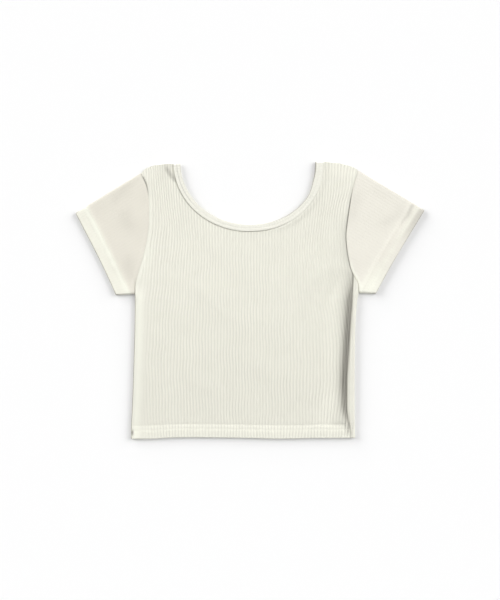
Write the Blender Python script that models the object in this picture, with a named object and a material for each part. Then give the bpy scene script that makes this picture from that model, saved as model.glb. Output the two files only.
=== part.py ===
"""Short-sleeved crop top of ribbed knit with a deep scoop neck, laid flat.

Run with: blender --background --python part.py

The garment lies on the plane z = 0 with its front up, its neck towards +Y and the wearer's right
sleeve towards -X. Five cut pieces are sewn together: the front, the back, two sleeves and the strip
that binds the neck. Each is one closed wall of knit. The back wraps round the right-hand side, so
that the side seam there lies on top, in a trough between the front and a narrow strip of the back.
"""

import math
from collections import namedtuple

import bmesh
import bpy
import numpy as np

MM = 0.001  # the tables below hold millimetres

# Cloth
WALL = 1.2 * MM  # one layer of knit, measured between its ribs
RIB_HEIGHT = 0.6 * MM
SLEEVE_RIB_HEIGHT = 0.35 * MM  # stretched a little flatter
RIB_PITCH = 4.7 * MM
SEAM = 0.35 * MM  # space between two pieces at a seam
SLEEVE_SEAM = 0.6 * MM  # the same at the armholes
AIR = 1.2 * MM  # extra space between the back's inside and the front's

# Hems: the edge is turned up inside and lies double
HEM_DEPTH = 21.5 * MM
HEM_STEP = 1.0 * MM  # length over which the inside steps down from two layers to one
HEM_SLOPE = 7.0 * MM  # length over which the outside comes down to the single layer
HEM_ROUND = 1.4 * MM  # rounding of the fold at the very edge

# Heights of the front's outside above the surface that the garment lies on
FRONT_TOP = 2 * WALL + SEAM + AIR - 0.05 * MM
HEM_TOP = 4 * WALL + SEAM
SHOULDER_TOP = 2 * WALL + SEAM
SHOULDER_SLOPE = 22.0 * MM

# Rounded edge on the left, where front and back meet halfway up
ROLL_RADIUS = 3.0 * MM
ROLL_SETTLE = 22.0 * MM  # distance in which the front comes down from the roll

# Trough along the side seam on the right
CREST_RISE = 4.6 * MM  # height of the front beside the trough, above FRONT_TOP
CREST_WIDTH = 34.0 * MM
TROUGH_WIDTH = 8.2 * MM
TROUGH_WALL = 5.0 * MM  # horizontal length of the front's steep side
TROUGH_FLOOR = 2 * WALL + SEAM + 0.1 * MM
STRIP_WALL = 3.6 * MM  # horizontal length of the strip's steep side
STRIP_RADIUS = 2.6 * MM
STRIP_SWELL = 0.6 * MM  # growth of the strip's radius where the trough gapes

# Neck: the seam between panel and binding is half an ellipse, a little fuller on the right.
# Fullness is the power of the curve there: 2 is an ellipse
Neck = namedtuple("Neck", "centre_x centre_y half_width depth fullness")
FRONT_NECK = Neck(-1.2 * MM, 216.4 * MM, 118.4 * MM, 108.8 * MM, 2.12)
BACK_NECK = Neck(-1.2 * MM, 216.4 * MM, 118.4 * MM, 110.0 * MM, 2.12)
BINDING_WIDTH = 10.8 * MM
BINDING_MID_FRONT = 4.0 * MM  # height of the binding's middle on the front
BINDING_MID_BACK = 1.3 * MM
NECK_SEGMENTS = 128

# Rows of the side edges and of the side seam on the right, and how far the trough gapes there
Side = namedtuple("Side", "y left right seam gape")
SIDES = [
    Side(-217.2, -186.4, 166.2, 159.0, 0.0),
    Side(-201.0, -186.2, 165.7, 157.2, 0.0),
    Side(-190.0, -185.9, 165.4, 155.0, 0.5),
    Side(-165.0, -184.6, 165.2, 152.6, 0.9),
    Side(-130.0, -183.2, 165.2, 152.8, 1.0),
    Side(-96.0, -182.2, 165.4, 154.6, 1.0),
    Side(-47.0, -180.8, 166.2, 157.8, 1.0),
    Side(-2.0, -180.2, 169.0, 161.0, 0.85),
    Side(12.0, -180.3, 171.6, 161.6, 0.55),
    Side(30.0, -180.3, 171.6, 162.0, 0.2),
    Side(42.0, -180.3, 171.6, 162.2, 0.0),
    Side(60.0, -180.3, 174.0, 166.0, 0.0),
    Side(226.0, -180.3, 180.0, 172.0, 0.0),
]

# Armhole seams, from under the arm to the tip of the shoulder
Point = namedtuple("Point", "x y")
ARMHOLE_LEFT = [
    Point(-186.0, 1.5),
    Point(-180.6, 9.0),
    Point(-179.4, 23.6),
    Point(-174.4, 43.3),
    Point(-166.6, 69.3),
    Point(-160.7, 98.4),
    Point(-157.7, 126.0),
    Point(-157.7, 150.0),
    Point(-160.9, 175.2),
    Point(-170.4, 199.4),
]
ARMHOLE_RIGHT = [
    Point(172.6, 10.8),
    Point(171.6, 21.6),
    Point(169.0, 29.4),
    Point(165.2, 36.4),
    Point(161.5, 44.0),
    Point(158.0, 54.5),
    Point(153.6, 86.0),
    Point(152.0, 114.2),
    Point(155.1, 143.0),
    Point(162.2, 177.2),
    Point(170.6, 204.2),
]
SHOULDER_LEFT = [
    Point(-170.4, 199.4),
    Point(-163.4, 206.6),
    Point(-149.0, 212.0),
    Point(-131.5, 214.2),
    Point(-100.0, 214.2),
]
SHOULDER_RIGHT = [
    Point(170.6, 204.2),
    Point(162.2, 209.5),
    Point(142.5, 214.6),
    Point(111.0, 218.1),
    Point(96.0, 218.1),
]

# Sleeves: the fold along the arm, the hem's two ends, the side under the arm, the armhole and how
# far the hem's middle is drawn in, in millimetres
Sleeve = namedtuple("Sleeve", "tip fold_end hem_low under armhole hollow")
SLEEVE_LEFT = Sleeve(
    Point(-171.4, 199.2),
    Point(-273.8, 136.9),
    Point(-210.8, 7.2),
    Point(-181.0, 8.1),
    ARMHOLE_LEFT[1:],
    2.0,
)
SLEEVE_RIGHT = Sleeve(
    Point(171.6, 203.6),
    Point(275.3, 141.2),
    Point(198.6, 9.5),
    Point(172.6, 10.0),
    ARMHOLE_RIGHT,
    0.3,
)
SLEEVE_TOP = 3.9 * MM  # height of the upper layer's outside
SLEEVE_FOLD_RADIUS = 2.6 * MM
SLEEVE_TIP_RADIUS = 1.5 * MM  # the same fold where it leaves the shoulder
SLEEVE_HEM_RADIUS = 2.8 * MM
SLEEVE_SETTLE = 15.0 * MM

# Colours
IVORY = (0.83, 0.82, 0.73)
PALE_IVORY = (0.87, 0.86, 0.77)

# Mesh: rows up the panels, in millimetres, and columns across each piece
PANEL_ROWS = (
    [-217.2, -215.8, -198.2, -195.0, -194.0, -188.0, -165.0, -130.0, -90.0, -47.0, -5.0, 12.0]
    + [30.0, 44.0, 80.0, 118.0, 155.0, 185.0, 202.0, 213.0, 225.0]
)
FRONT_CELLS = 148  # columns of the ribbed front, two to a rib
INSIDE_STEP = 4  # the plain inside has one column to so many outside
BACK_COLUMN_STEP = 18.8 * MM
SLEEVE_UNDER_CELLS = 24
FOLD_CELLS = 4
BINDING_FRONT_STATIONS = 84
BINDING_BACK_STATIONS = 56
BINDING_TURN_STATIONS = 5

# Spacing of the columns under the sleeve: closer where the armhole curves most
UNDER_SHARES = np.linspace(0.0, 1.0, SLEEVE_UNDER_CELLS + 1) ** 1.5


# Angles round a quarter turn, with a very short first step that gives the end its true direction
ROLL_TURN = np.append(0.0, np.linspace(0.005, math.pi / 2, 10))


def smoothstep(low, high, value):
    """0 below low, 1 above high, and a smooth slope between."""
    t = np.clip((value - low) / (high - low), 0.0, 1.0)
    return t * t * (3.0 - 2.0 * t)


def smooth_curve(at, knots, values):
    """A curve through the table's values that never overshoots them."""
    knots, values = np.asarray(knots, float), np.asarray(values, float)
    steps = np.diff(knots)
    slopes = np.diff(values) / steps
    tangents = np.zeros_like(values)
    same_way = slopes[:-1] * slopes[1:] > 0
    harmonic = 2 * slopes[:-1] * slopes[1:] / np.where(same_way, slopes[:-1] + slopes[1:], 1.0)
    tangents[1:-1] = np.where(same_way, harmonic, 0.0)
    tangents[0], tangents[-1] = slopes[0], slopes[-1]
    i = np.clip(np.searchsorted(knots, at) - 1, 0, len(steps) - 1)
    t = np.clip((at - knots[i]) / steps[i], 0.0, 1.0)
    rise = values[i] * (1 + 2 * t) * (1 - t) ** 2 + values[i + 1] * t * t * (3 - 2 * t)
    turn = steps[i] * t * (1 - t) * (tangents[i] * (1 - t) - tangents[i + 1] * t)
    return rise + turn


def side(column, y):
    """One column of SIDES at height y, in metres, or without a unit for gape."""
    unit = 1.0 if column == "gape" else MM
    knots = [row.y * MM for row in SIDES]
    return smooth_curve(y, knots, [getattr(row, column) * unit for row in SIDES])


def curve_points(points, steps):
    """A smooth line through the table's points, with so many steps in each of its spans."""
    path = np.array([(p.x, p.y) for p in points]) * MM
    reach = np.concatenate([[0.0], np.cumsum(np.linalg.norm(np.diff(path, axis=0), axis=1))])
    at = np.concatenate([np.linspace(a, b, steps, endpoint=False) for a, b in zip(reach, reach[1:])])
    at = np.append(at, reach[-1])
    return np.stack([smooth_curve(at, reach, path[:, k]) for k in (0, 1)], axis=1)


def rib(column):
    """1 on the crest of a rib and 0 in the furrow: the crests are the odd columns."""
    return np.asarray(column) % 2


# ---------------------------------------------------------------- heights and sections of the panels


def shoulder_height(x):
    """The y of the shoulder line above x, flat across the neck."""
    line = list(reversed(SHOULDER_LEFT)) + SHOULDER_RIGHT[::-1]
    line.sort()
    return np.interp(x, [p.x * MM for p in line], [p.y * MM for p in line])


def hem_share(y):
    """1 in the hem and 0 above it, for the outside."""
    top = SIDES[0].y * MM + HEM_DEPTH
    return 1.0 - smoothstep(top, top + HEM_SLOPE, y)


def layers(y):
    """Thickness of a panel at height y: double in the hem, with a short step at its upper edge."""
    top = SIDES[0].y * MM + HEM_DEPTH
    return WALL * (2.0 - smoothstep(top, top + HEM_STEP, y))


def hem_rounding(y):
    """How far the outside curves in at the fold of the hem."""
    depth = np.clip(1.0 - (y - SIDES[0].y * MM) / HEM_ROUND, 0.0, 1.0)
    return HEM_ROUND * (1.0 - np.sqrt(1.0 - depth * depth)) * 0.8


def front_height(x, y):
    """Height of the front's outside between its ribs, inside the roll on the left."""
    hem, gape = hem_share(y), side("gape", y)
    left, seam = side("left", y), side("seam", y)
    below_shoulder = smoothstep(0.0, SHOULDER_SLOPE, shoulder_height(x) - y)
    flat = SHOULDER_TOP + (FRONT_TOP - SHOULDER_TOP) * below_shoulder
    flat = flat + (HEM_TOP - FRONT_TOP) * hem
    roll_top = 2 * ROLL_RADIUS
    from_roll = 1.0 - smoothstep(0.0, ROLL_SETTLE, x - left - ROLL_RADIUS)
    height = flat + (roll_top - flat) * from_roll * roll_share(y)
    brink = seam - TROUGH_WIDTH * gape
    rise = smoothstep(brink - CREST_WIDTH, brink - TROUGH_WALL, x)
    crest = height + CREST_RISE * gape * rise
    floor = flat + (TROUGH_FLOOR - flat) * np.minimum(1.0, 1.5 * gape)
    fall = smoothstep(brink - 0.4 * TROUGH_WALL, brink + 0.6 * TROUGH_WALL, x)
    return crest + (floor - crest) * fall * np.minimum(1.0, 3.0 * gape)


def roll_share(y):
    """1 below the arm, where the left edge is a roll, and 0 from a little above it."""
    under = ARMHOLE_LEFT[1].y * MM
    return 1.0 - smoothstep(under - 8 * MM, under + 16 * MM, y)


def front_path(y):
    """The front's outside across the garment at height y, from the left seam to the right one."""
    left, seam = side("left", y), side("seam", y) - SEAM / 2
    turn = ROLL_TURN[:-1]
    x_turn = left + ROLL_RADIUS * (1 - np.cos(turn))
    brim = front_height(left + ROLL_RADIUS, y)
    z_turn = brim - roll_share(y) * ROLL_RADIUS * (1 - np.sin(turn))
    x_top = np.linspace(left + ROLL_RADIUS, seam, 400)
    x = np.concatenate([x_turn, x_top])
    z = np.concatenate([z_turn, front_height(x_top, y)])
    return np.stack([x, z], axis=1)


def strip_height(x, y):
    """Height of the strip of the back that shows on top, right of the side seam."""
    gape, hem = side("gape", y), hem_share(y)
    seam = side("seam", y)
    top = 2 * strip_radius(y)
    floor = FRONT_TOP + (HEM_TOP - FRONT_TOP) * hem
    floor = floor + (TROUGH_FLOOR - floor) * np.minimum(1.0, 1.5 * gape)
    return floor + (top - floor) * smoothstep(0.0, STRIP_WALL, x - seam - SEAM)


def strip_radius(y):
    """Outer radius of the back's turn round the right-hand edge."""
    single = STRIP_RADIUS + STRIP_SWELL * side("gape", y)
    return single + (HEM_TOP / 2 + 0.1 * MM - single) * hem_share(y)


def back_path(y):
    """The back's outside at height y: from the left seam, under the garment, round the right-hand
    edge and over to the side seam on top."""
    left, right = side("left", y), side("right", y)
    seam, radius = side("seam", y) + SEAM / 2, strip_radius(y)
    low = ROLL_RADIUS - SEAM
    turn = ROLL_TURN[:-1]
    x_left = left + low * (1 - np.cos(turn))
    z_left = roll_share(y) * low * (1 - np.sin(turn))
    x_under = np.linspace(left + low, right - radius, 400)
    wrap = np.linspace(0.0, math.pi, 17)[1:-1]
    x_wrap = right - radius + radius * np.sin(wrap)
    z_wrap = radius * (1 - np.cos(wrap))
    x_strip = np.linspace(right - radius, seam, 60)
    x = np.concatenate([x_left, x_under, x_wrap, x_strip])
    z_under = np.zeros_like(x_under)
    z = np.concatenate([z_left, z_under, z_wrap, strip_height(x_strip, y)])
    return np.stack([x, z], axis=1)


def normals(path):
    """Unit normals of a line in the x-z plane, to the left of the way it runs."""
    along = np.gradient(path, axis=0)
    along /= np.linalg.norm(along, axis=1)[:, None]
    return np.stack([-along[:, 1], along[:, 0]], axis=1)


def sample(path, shares):
    """Points and normals of a line at the given shares of its length."""
    reach = np.concatenate([[0.0], np.cumsum(np.linalg.norm(np.diff(path, axis=0), axis=1))])
    at = shares * reach[-1]
    facing = normals(path)
    points = np.stack([np.interp(at, reach, path[:, k]) for k in (0, 1)], axis=1)
    outward = np.stack([np.interp(at, reach, facing[:, k]) for k in (0, 1)], axis=1)
    return points, outward / np.linalg.norm(outward, axis=1)[:, None]


# ---------------------------------------------------------------- meshes


def add_object(name, mesh, collection, material=None, parent=None):
    """Puts a mesh in the scene, smooth except at its sharp edges."""
    obj = bpy.data.objects.new(name, mesh)
    collection.objects.link(obj)
    obj.parent = parent
    if material:
        mesh.materials.append(material)
        mesh.shade_smooth()
        mesh.set_sharp_from_angle(angle=math.radians(50))
    return obj


def wall(name, outside, inside, step, closed=False):
    """A closed wall between a fine outer grid and an inner grid with one column to every step.

    Both hold rows of points. A closed wall joins its last column to the first, as a tube does."""
    mesh = bpy.data.meshes.new(name)
    bm = bmesh.new()
    outer = [[bm.verts.new(p) for p in row] for row in outside]
    inner = [[bm.verts.new(p) for p in row] for row in inside]
    fine, coarse = len(outer[0]), len(inner[0])
    fine_cells = fine if closed else fine - 1
    coarse_cells = coarse if closed else coarse - 1
    for low, high in zip(outer, outer[1:]):
        for i in range(fine_cells):
            j = (i + 1) % fine
            bm.faces.new((low[i], low[j], high[j], high[i]))
    for low, high in zip(inner, inner[1:]):
        for i in range(coarse_cells):
            j = (i + 1) % coarse
            bm.faces.new((low[j], low[i], high[i], high[j]))
    for out_row, in_row in ((outer[0], inner[0]), (outer[-1], inner[-1])):
        for i in range(coarse_cells):
            rim = [out_row[k % fine] for k in range(i * step, (i + 1) * step + 1)]
            bm.faces.new(rim + [in_row[(i + 1) % coarse], in_row[i]])
    if not closed:
        for edge in (0, -1):
            for j in range(len(outer) - 1):
                bm.faces.new((outer[j][edge], outer[j + 1][edge], inner[j + 1][edge], inner[j][edge]))
    bmesh.ops.recalc_face_normals(bm, faces=bm.faces)
    bm.to_mesh(mesh)
    bm.free()
    return mesh


def prism(name, outline, collection):
    """A cutter: a flat outline drawn as a filled 2D curve, extruded and made a mesh."""
    curve = bpy.data.curves.new(name, "CURVE")
    curve.dimensions = "2D"
    curve.fill_mode = "BOTH"
    curve.extrude = 30 * MM
    spline = curve.splines.new("POLY")
    spline.points.add(len(outline) - 1)
    for point, (x, y) in zip(spline.points, outline):
        point.co = (x, y, 0.0, 1.0)
    spline.use_cyclic_u = True
    drawn = bpy.data.objects.new(name + "_outline", curve)
    bpy.context.scene.collection.objects.link(drawn)
    graph = bpy.context.evaluated_depsgraph_get()
    mesh = bpy.data.meshes.new_from_object(drawn.evaluated_get(graph))
    bpy.data.objects.remove(drawn)
    bm = bmesh.new()
    bm.from_mesh(mesh)
    bmesh.ops.remove_doubles(bm, verts=bm.verts, dist=0.01 * MM)
    bmesh.ops.recalc_face_normals(bm, faces=bm.faces)
    bm.to_mesh(mesh)
    bm.free()
    cutter = add_object(name, mesh, collection)
    cutter.hide_render = True
    cutter.display_type = "WIRE"
    return cutter


def cut(obj, cutters):
    """Cuts the pattern's armholes, shoulders and neck out of a panel."""
    for cutter in cutters:
        boolean = obj.modifiers.new("cut_" + cutter.name, "BOOLEAN")
        boolean.operation = "DIFFERENCE"
        boolean.solver = "EXACT"
        boolean.object = cutter


def panel_cutters(prefix, neck, collection):
    """The three cutters of a panel: left and right, each armhole with its shoulder, and the neck."""
    far_x, far_y = 290 * MM, 260 * MM
    cutters = []
    for where, armhole, shoulder, sign in (
        ("left", ARMHOLE_LEFT, SHOULDER_LEFT, -1),
        ("right", ARMHOLE_RIGHT, SHOULDER_RIGHT, 1),
    ):
        line = np.concatenate([curve_points(armhole, 3)[:-1], curve_points(shoulder, 3)])
        corners = [(line[-1][0], far_y), (sign * far_x, far_y), (sign * far_x, line[0][1])]
        cutters.append(prism(f"{prefix}_{where}_cutter", [*line, *corners], collection))
    turn = np.linspace(0.0, 2 * math.pi, NECK_SEGMENTS, endpoint=False)
    cutters.append(prism(f"{prefix}_neck_cutter", neck_curve(neck, turn)[0], collection))
    return cutters


def neck_curve(neck, turn):
    """Points of the neck seam's curve at the given angles, and unit vectors from them inwards."""
    cos, sin = np.cos(turn), np.sin(turn)
    power = np.where(cos > 0, neck.fullness, 2.0)
    u = np.sign(cos) * np.abs(cos) ** (2.0 / power)
    v = np.sign(sin) * np.abs(sin) ** (2.0 / power)
    points = np.stack([neck.centre_x + neck.half_width * u, neck.centre_y + neck.depth * v], axis=1)
    across = np.sign(u) * np.abs(u) ** (power - 1.0) / neck.half_width
    up = np.sign(v) * np.abs(v) ** (power - 1.0) / neck.depth
    inward = -np.stack([across, up], axis=1)
    return points, inward / np.linalg.norm(inward, axis=1)[:, None]


# ---------------------------------------------------------------- pieces


def front_panel():
    """The front: ribbed outside, plain inside, with the hem turned up inside."""
    shares = np.linspace(0.0, 1.0, FRONT_CELLS + 1)
    ribs = rib(np.arange(FRONT_CELLS + 1)) * RIB_HEIGHT
    outside, inside = [], []
    for y in np.array(PANEL_ROWS) * MM:
        points, outward = sample(front_path(y), shares)
        from_left = (points[:, 0] - side("left", y)) / ROLL_SETTLE
        raised = ribs * np.clip(from_left, 0.0, 1.0) - hem_rounding(y)
        raised = points + outward * raised[:, None]
        under = points - outward * layers(y)
        outside.append([(x, y, z) for x, z in raised])
        inside.append([(x, y, z) for x, z in under[::INSIDE_STEP]])
    return wall("front_panel", outside, inside, INSIDE_STEP)


def back_panel():
    """The back: plain, flat underneath, wrapped round the right-hand edge."""
    steep = [BACK_NECK.half_width * s for s in (0.80, 0.92, 0.98)]
    across = list(np.arange(-8, 9) * BACK_COLUMN_STEP)
    across += [BACK_NECK.centre_x + s for s in steep] + [BACK_NECK.centre_x - s for s in steep]
    flat_x = np.unique(np.round(across, 5))
    outside, inside = [], []
    for y in np.array(PANEL_ROWS) * MM:
        path = back_path(y)
        reach = np.concatenate([[0.0], np.cumsum(np.linalg.norm(np.diff(path, axis=0), axis=1))])
        left, right, radius = side("left", y), side("right", y), strip_radius(y)
        start = reach[len(ROLL_TURN) - 1]
        wrap = start + (right - radius) - (left + ROLL_RADIUS - SEAM)
        columns = [0.0, 0.35 * start, 0.7 * start, start]
        columns += list(start + flat_x - (left + ROLL_RADIUS - SEAM))
        columns += [wrap]
        columns += list(wrap + math.pi * radius * np.array([0.17, 0.33, 0.5, 0.67, 0.83, 1.0]))
        over = wrap + math.pi * radius
        columns += list(over + (reach[-1] - over) * np.array([0.25, 0.5, 0.7, 0.85, 1.0]))
        points, outward = sample(path, np.array(columns) / reach[-1])
        under = points + outward * layers(y)
        rounded = points + outward * (hem_rounding(y) * (points[:, 1] > radius))[:, None]
        outside.append([(x, y, z) for x, z in rounded])
        inside.append([(x, y, z) for x, z in under])
    return wall("back_panel", outside, inside, 1)


def sleeve_frame(sleeve):
    """The sleeve's shoulder tip, and unit vectors along its fold and across it."""
    tip = np.array(sleeve.tip) * MM
    along = np.array(sleeve.fold_end) * MM - tip
    along /= np.linalg.norm(along)
    across = np.array([along[1], -along[0]])
    if across @ (np.array(sleeve.under) * MM - tip) < 0:
        across = -across
    return tip, along, across


def sleeve_armhole(sleeve):
    """The sleeve's cut edge at the armhole, one seam's width from the panels, as pairs of
    distance across and distance along the sleeve."""
    tip, along, across = sleeve_frame(sleeve)
    line = curve_points(sleeve.armhole, 3)
    slope = np.gradient(line, axis=0)
    slope /= np.linalg.norm(slope, axis=1)[:, None]
    outward = np.stack([slope[:, 1], -slope[:, 0]], axis=1)
    if outward[len(line) // 2] @ along < 0:
        outward = -outward
    line = line + outward * SLEEVE_SEAM - tip
    pairs = np.stack([line @ across, line @ along], axis=1)
    return pairs[np.argsort(pairs[:, 0])]


def sleeve_tube(name, sleeve):
    """A flattened tube from the armhole to the hem, with ribs along the upper layer."""
    tip, along, across = sleeve_frame(sleeve)
    armhole = sleeve_armhole(sleeve)
    low = np.array(sleeve.hem_low) * MM - tip
    width_hem, reach_low = low @ across, low @ along
    end = np.array(sleeve.fold_end) * MM - tip
    reach_top = end @ along
    width_arm = armhole[-1][0]
    cells = 2 * round(width_arm / RIB_PITCH)
    cells += -(cells + SLEEVE_UNDER_CELLS) % INSIDE_STEP
    turn = np.linspace(0.0, math.pi, FOLD_CELLS + 1)[1:-1]
    outside, inside = [], []
    stations = [(0.0, 0.0), (0.12, 0.0), (0.5, 0.0), (1.0, 0.0), (1.0, 0.12), (1.0, 0.16), (1.0, 0.3)]
    stations += [(1.0, 0.93), (1.0, 1.0)]
    band = HEM_DEPTH + HEM_SLOPE
    for body, hem in stations:
        hem_on = smoothstep(0.0, 0.28, hem)
        radius = SLEEVE_TIP_RADIUS + (SLEEVE_FOLD_RADIUS - SLEEVE_TIP_RADIUS) * smoothstep(0, 0.4, body)
        radius = radius + (SLEEVE_HEM_RADIUS - radius) * hem_on
        top = SLEEVE_TOP + (HEM_TOP - SLEEVE_TOP) * hem_on
        edge = HEM_ROUND * 0.6 if hem == 1.0 else 0.0
        w = np.linspace(radius, width_arm - radius, cells + 1)
        near = np.minimum(w, width_arm - w)
        z = top + (2 * radius - top) * (1 - smoothstep(radius, SLEEVE_SETTLE, near))
        under_w = radius + (width_arm - 2 * radius) * (1 - UNDER_SHARES)
        ring_w = [w, width_arm - radius * (1 - np.sin(turn)), under_w, radius * (1 - np.sin(turn))]
        ring_z = [z, radius * (1 + np.cos(turn)), 0 * under_w, radius * (1 - np.cos(turn))]
        ring = np.stack([np.concatenate(ring_w), np.concatenate(ring_z)], axis=1)
        looped = np.concatenate([ring[-1:], ring, ring[:1]])
        facing = normals(looped)[1:-1]
        crest = np.zeros(len(ring))
        crest[: cells + 1] = rib(np.arange(cells + 1)) * SLEEVE_RIB_HEIGHT - edge
        thickness = WALL * (2.0 if hem >= 0.16 else 1.0)
        for grid, shape, step in (
            (outside, ring + facing * crest[:, None], 1),
            (inside, ring - facing * thickness, INSIDE_STEP),
        ):
            across_now, height = shape[::step, 0], shape[::step, 1]
            at = np.clip(across_now, 0.0, width_arm)
            start = np.interp(at, armhole[:, 0], armhole[:, 1])
            squeezed = squeeze(across_now, width_arm, width_hem)
            finish = reach_top + (reach_low - reach_top) * squeezed / width_hem
            down = np.clip(squeezed / width_hem, 0.0, 1.0)
            finish = finish - sleeve.hollow * MM * np.sin(math.pi * down)
            begin_band = np.maximum(finish - band, start + 0.4 * MM)
            reach = start + (begin_band - start) * body + (finish - begin_band) * hem
            share = np.clip((reach - start) / (finish - start), 0.0, 1.0)
            wide = across_now + (squeezed - across_now) * share
            flat = tip + np.outer(wide, across) + np.outer(reach, along)
            grid.append([(x, y, h) for (x, y), h in zip(flat, height)])
    return wall(name, outside, inside, INSIDE_STEP, closed=True)


def squeeze(w, width_arm, width_hem):
    """Where a line of the sleeve ends at the hem: the outer third closes up towards the seam."""
    kept = 0.6 * width_arm
    closer = kept + (w - kept) * (width_hem - kept) / (width_arm - kept)
    return np.where(w > kept, closer, w)


def neck_arc(neck, end_left, end_right, count):
    """Stations along a neck seam from its left top to its right one, and the way into the neck."""
    start = math.pi + math.asin((neck.centre_y - end_left) / neck.depth)
    low = ((neck.centre_y - end_right) / neck.depth) ** (neck.fullness / 2.0)
    turn = np.linspace(start, 2 * math.pi - math.asin(low), 2000)
    steps = np.linalg.norm(np.diff(neck_curve(neck, turn)[0], axis=0), axis=1)
    reach = np.concatenate([[0.0], np.cumsum(steps)])
    even = np.interp(np.linspace(0.0, reach[-1], count), reach, turn)
    return neck_curve(neck, even)


def binding_section():
    """The folded strip's section, in millimetres: distance from the seam into the neck, and
    height."""
    wide = BINDING_WIDTH / MM
    return [
        (0.0, -1.2), (0.0, 0.6), (0.8, 1.2), (4.4, 1.2), (5.2, 0.75), (6.0, 1.2),
        (wide - 1.2, 1.15), (wide, 0.0), (wide - 1.0, -1.2),
    ]  # fmt: skip


def neck_binding():
    """The strip folded over the neck's edge: along the front, over each shoulder, and behind."""
    radius = (BINDING_MID_FRONT - BINDING_MID_BACK) / 2
    reach = radius + 1.2 * MM
    end_left = shoulder_height(FRONT_NECK.centre_x - FRONT_NECK.half_width) - reach
    end_right = shoulder_height(FRONT_NECK.centre_x + FRONT_NECK.half_width) - reach
    end_right = min(end_right, FRONT_NECK.centre_y - 0.5 * MM)
    front, front_in = neck_arc(FRONT_NECK, end_left, end_right, BINDING_FRONT_STATIONS)
    back, back_in = neck_arc(BACK_NECK, end_left, end_right, BINDING_BACK_STATIONS)
    back, back_in = back[::-1], back_in[::-1]
    stations = [(p, n, BINDING_MID_FRONT, 0.0, 1.0) for p, n in zip(front, front_in)]
    stations += binding_turn(front[-1], front_in[-1], back[0], back_in[0], radius)
    stations += [(p, n, BINDING_MID_BACK, 0.0, -1.0) for p, n in zip(back, back_in)]
    stations += binding_turn(back[-1], back_in[-1], front[0], front_in[0], radius, up=True)
    mesh = bpy.data.meshes.new("neck_binding")
    bm = bmesh.new()
    rings = []
    for edge, inward, mid, push_y, push_z in stations:
        ring = []
        for distance, height in binding_section():
            x, y = edge + inward * (SEAM + distance * MM)
            point = (x, y + push_y * height * MM, mid + push_z * height * MM)
            ring.append(bm.verts.new(point))
        rings.append(ring)
    for now, then in zip(rings, rings[1:] + rings[:1]):
        for i, j in zip(range(len(now)), [*range(1, len(now)), 0]):
            bm.faces.new((now[i], now[j], then[j], then[i]))
    bmesh.ops.recalc_face_normals(bm, faces=bm.faces)
    bm.to_mesh(mesh)
    bm.free()
    return mesh


def binding_turn(start, start_in, stop, stop_in, radius, up=False):
    """Stations of the half turn over a shoulder, between the front's strip and the back's."""
    turn = []
    middle = (BINDING_MID_FRONT + BINDING_MID_BACK) / 2
    for t in np.linspace(0.0, 1.0, BINDING_TURN_STATIONS + 2)[1:-1]:
        angle = math.pi * (1 - t if up else t)
        share = smoothstep(0.2, 0.8, t)
        edge = start + (stop - start) * share + np.array([0.0, radius * math.sin(angle)])
        inward = start_in + (stop_in - start_in) * share
        turn.append((edge, inward, middle + radius * math.cos(angle), math.sin(angle), math.cos(angle)))
    return turn


def knit(name, colour, roughness):
    """A plain knit material."""
    material = bpy.data.materials.new(name)
    material.use_nodes = True
    shader = material.node_tree.nodes["Principled BSDF"]
    shader.inputs["Base Color"].default_value = (*colour, 1.0)
    shader.inputs["Roughness"].default_value = roughness
    shader.inputs["Metallic"].default_value = 0.0
    return material


def new_collection(name):
    """A collection in the scene."""
    collection = bpy.data.collections.new(name)
    bpy.context.scene.collection.children.link(collection)
    return collection


def main():
    """Clears the scene and builds the garment."""
    for obj in list(bpy.data.objects):
        bpy.data.objects.remove(obj)
    parts, cutters = new_collection("crop_top"), new_collection("cutters")
    garment = bpy.data.objects.new("garment", None)
    garment.empty_display_size = 50 * MM
    parts.objects.link(garment)
    panel_knit = knit("panel_knit", IVORY, 0.9)
    sleeve_knit = knit("sleeve_knit", IVORY, 0.9)
    binding_knit = knit("binding_knit", PALE_IVORY, 0.88)
    front = add_object("front_panel", front_panel(), parts, panel_knit, garment)
    cut(front, panel_cutters("front", FRONT_NECK, cutters))
    back = add_object("back_panel", back_panel(), parts, panel_knit, garment)
    cut(back, panel_cutters("back", BACK_NECK, cutters))
    for name, sleeve in (("sleeve_left", SLEEVE_LEFT), ("sleeve_right", SLEEVE_RIGHT)):
        add_object(name, sleeve_tube(name, sleeve), parts, sleeve_knit, garment)
    add_object("neck_binding", neck_binding(), parts, binding_knit, garment)


main()
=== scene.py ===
"""The finished look of a short-sleeved crop top of ribbed knit, laid flat with its front up.

Five cut pieces of knit are sewn together: front, back, two sleeves and the strip that binds the neck.
Each is one closed shell of cloth, ribbed outside, on the form of its solid. Needle threads lie on them.
Sizes are millimetres, apart from flat sizes and the studio, which are metres like the finished meshes.
"""

from __future__ import annotations

import logging
import math
from dataclasses import dataclass, field
from enum import Enum

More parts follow.
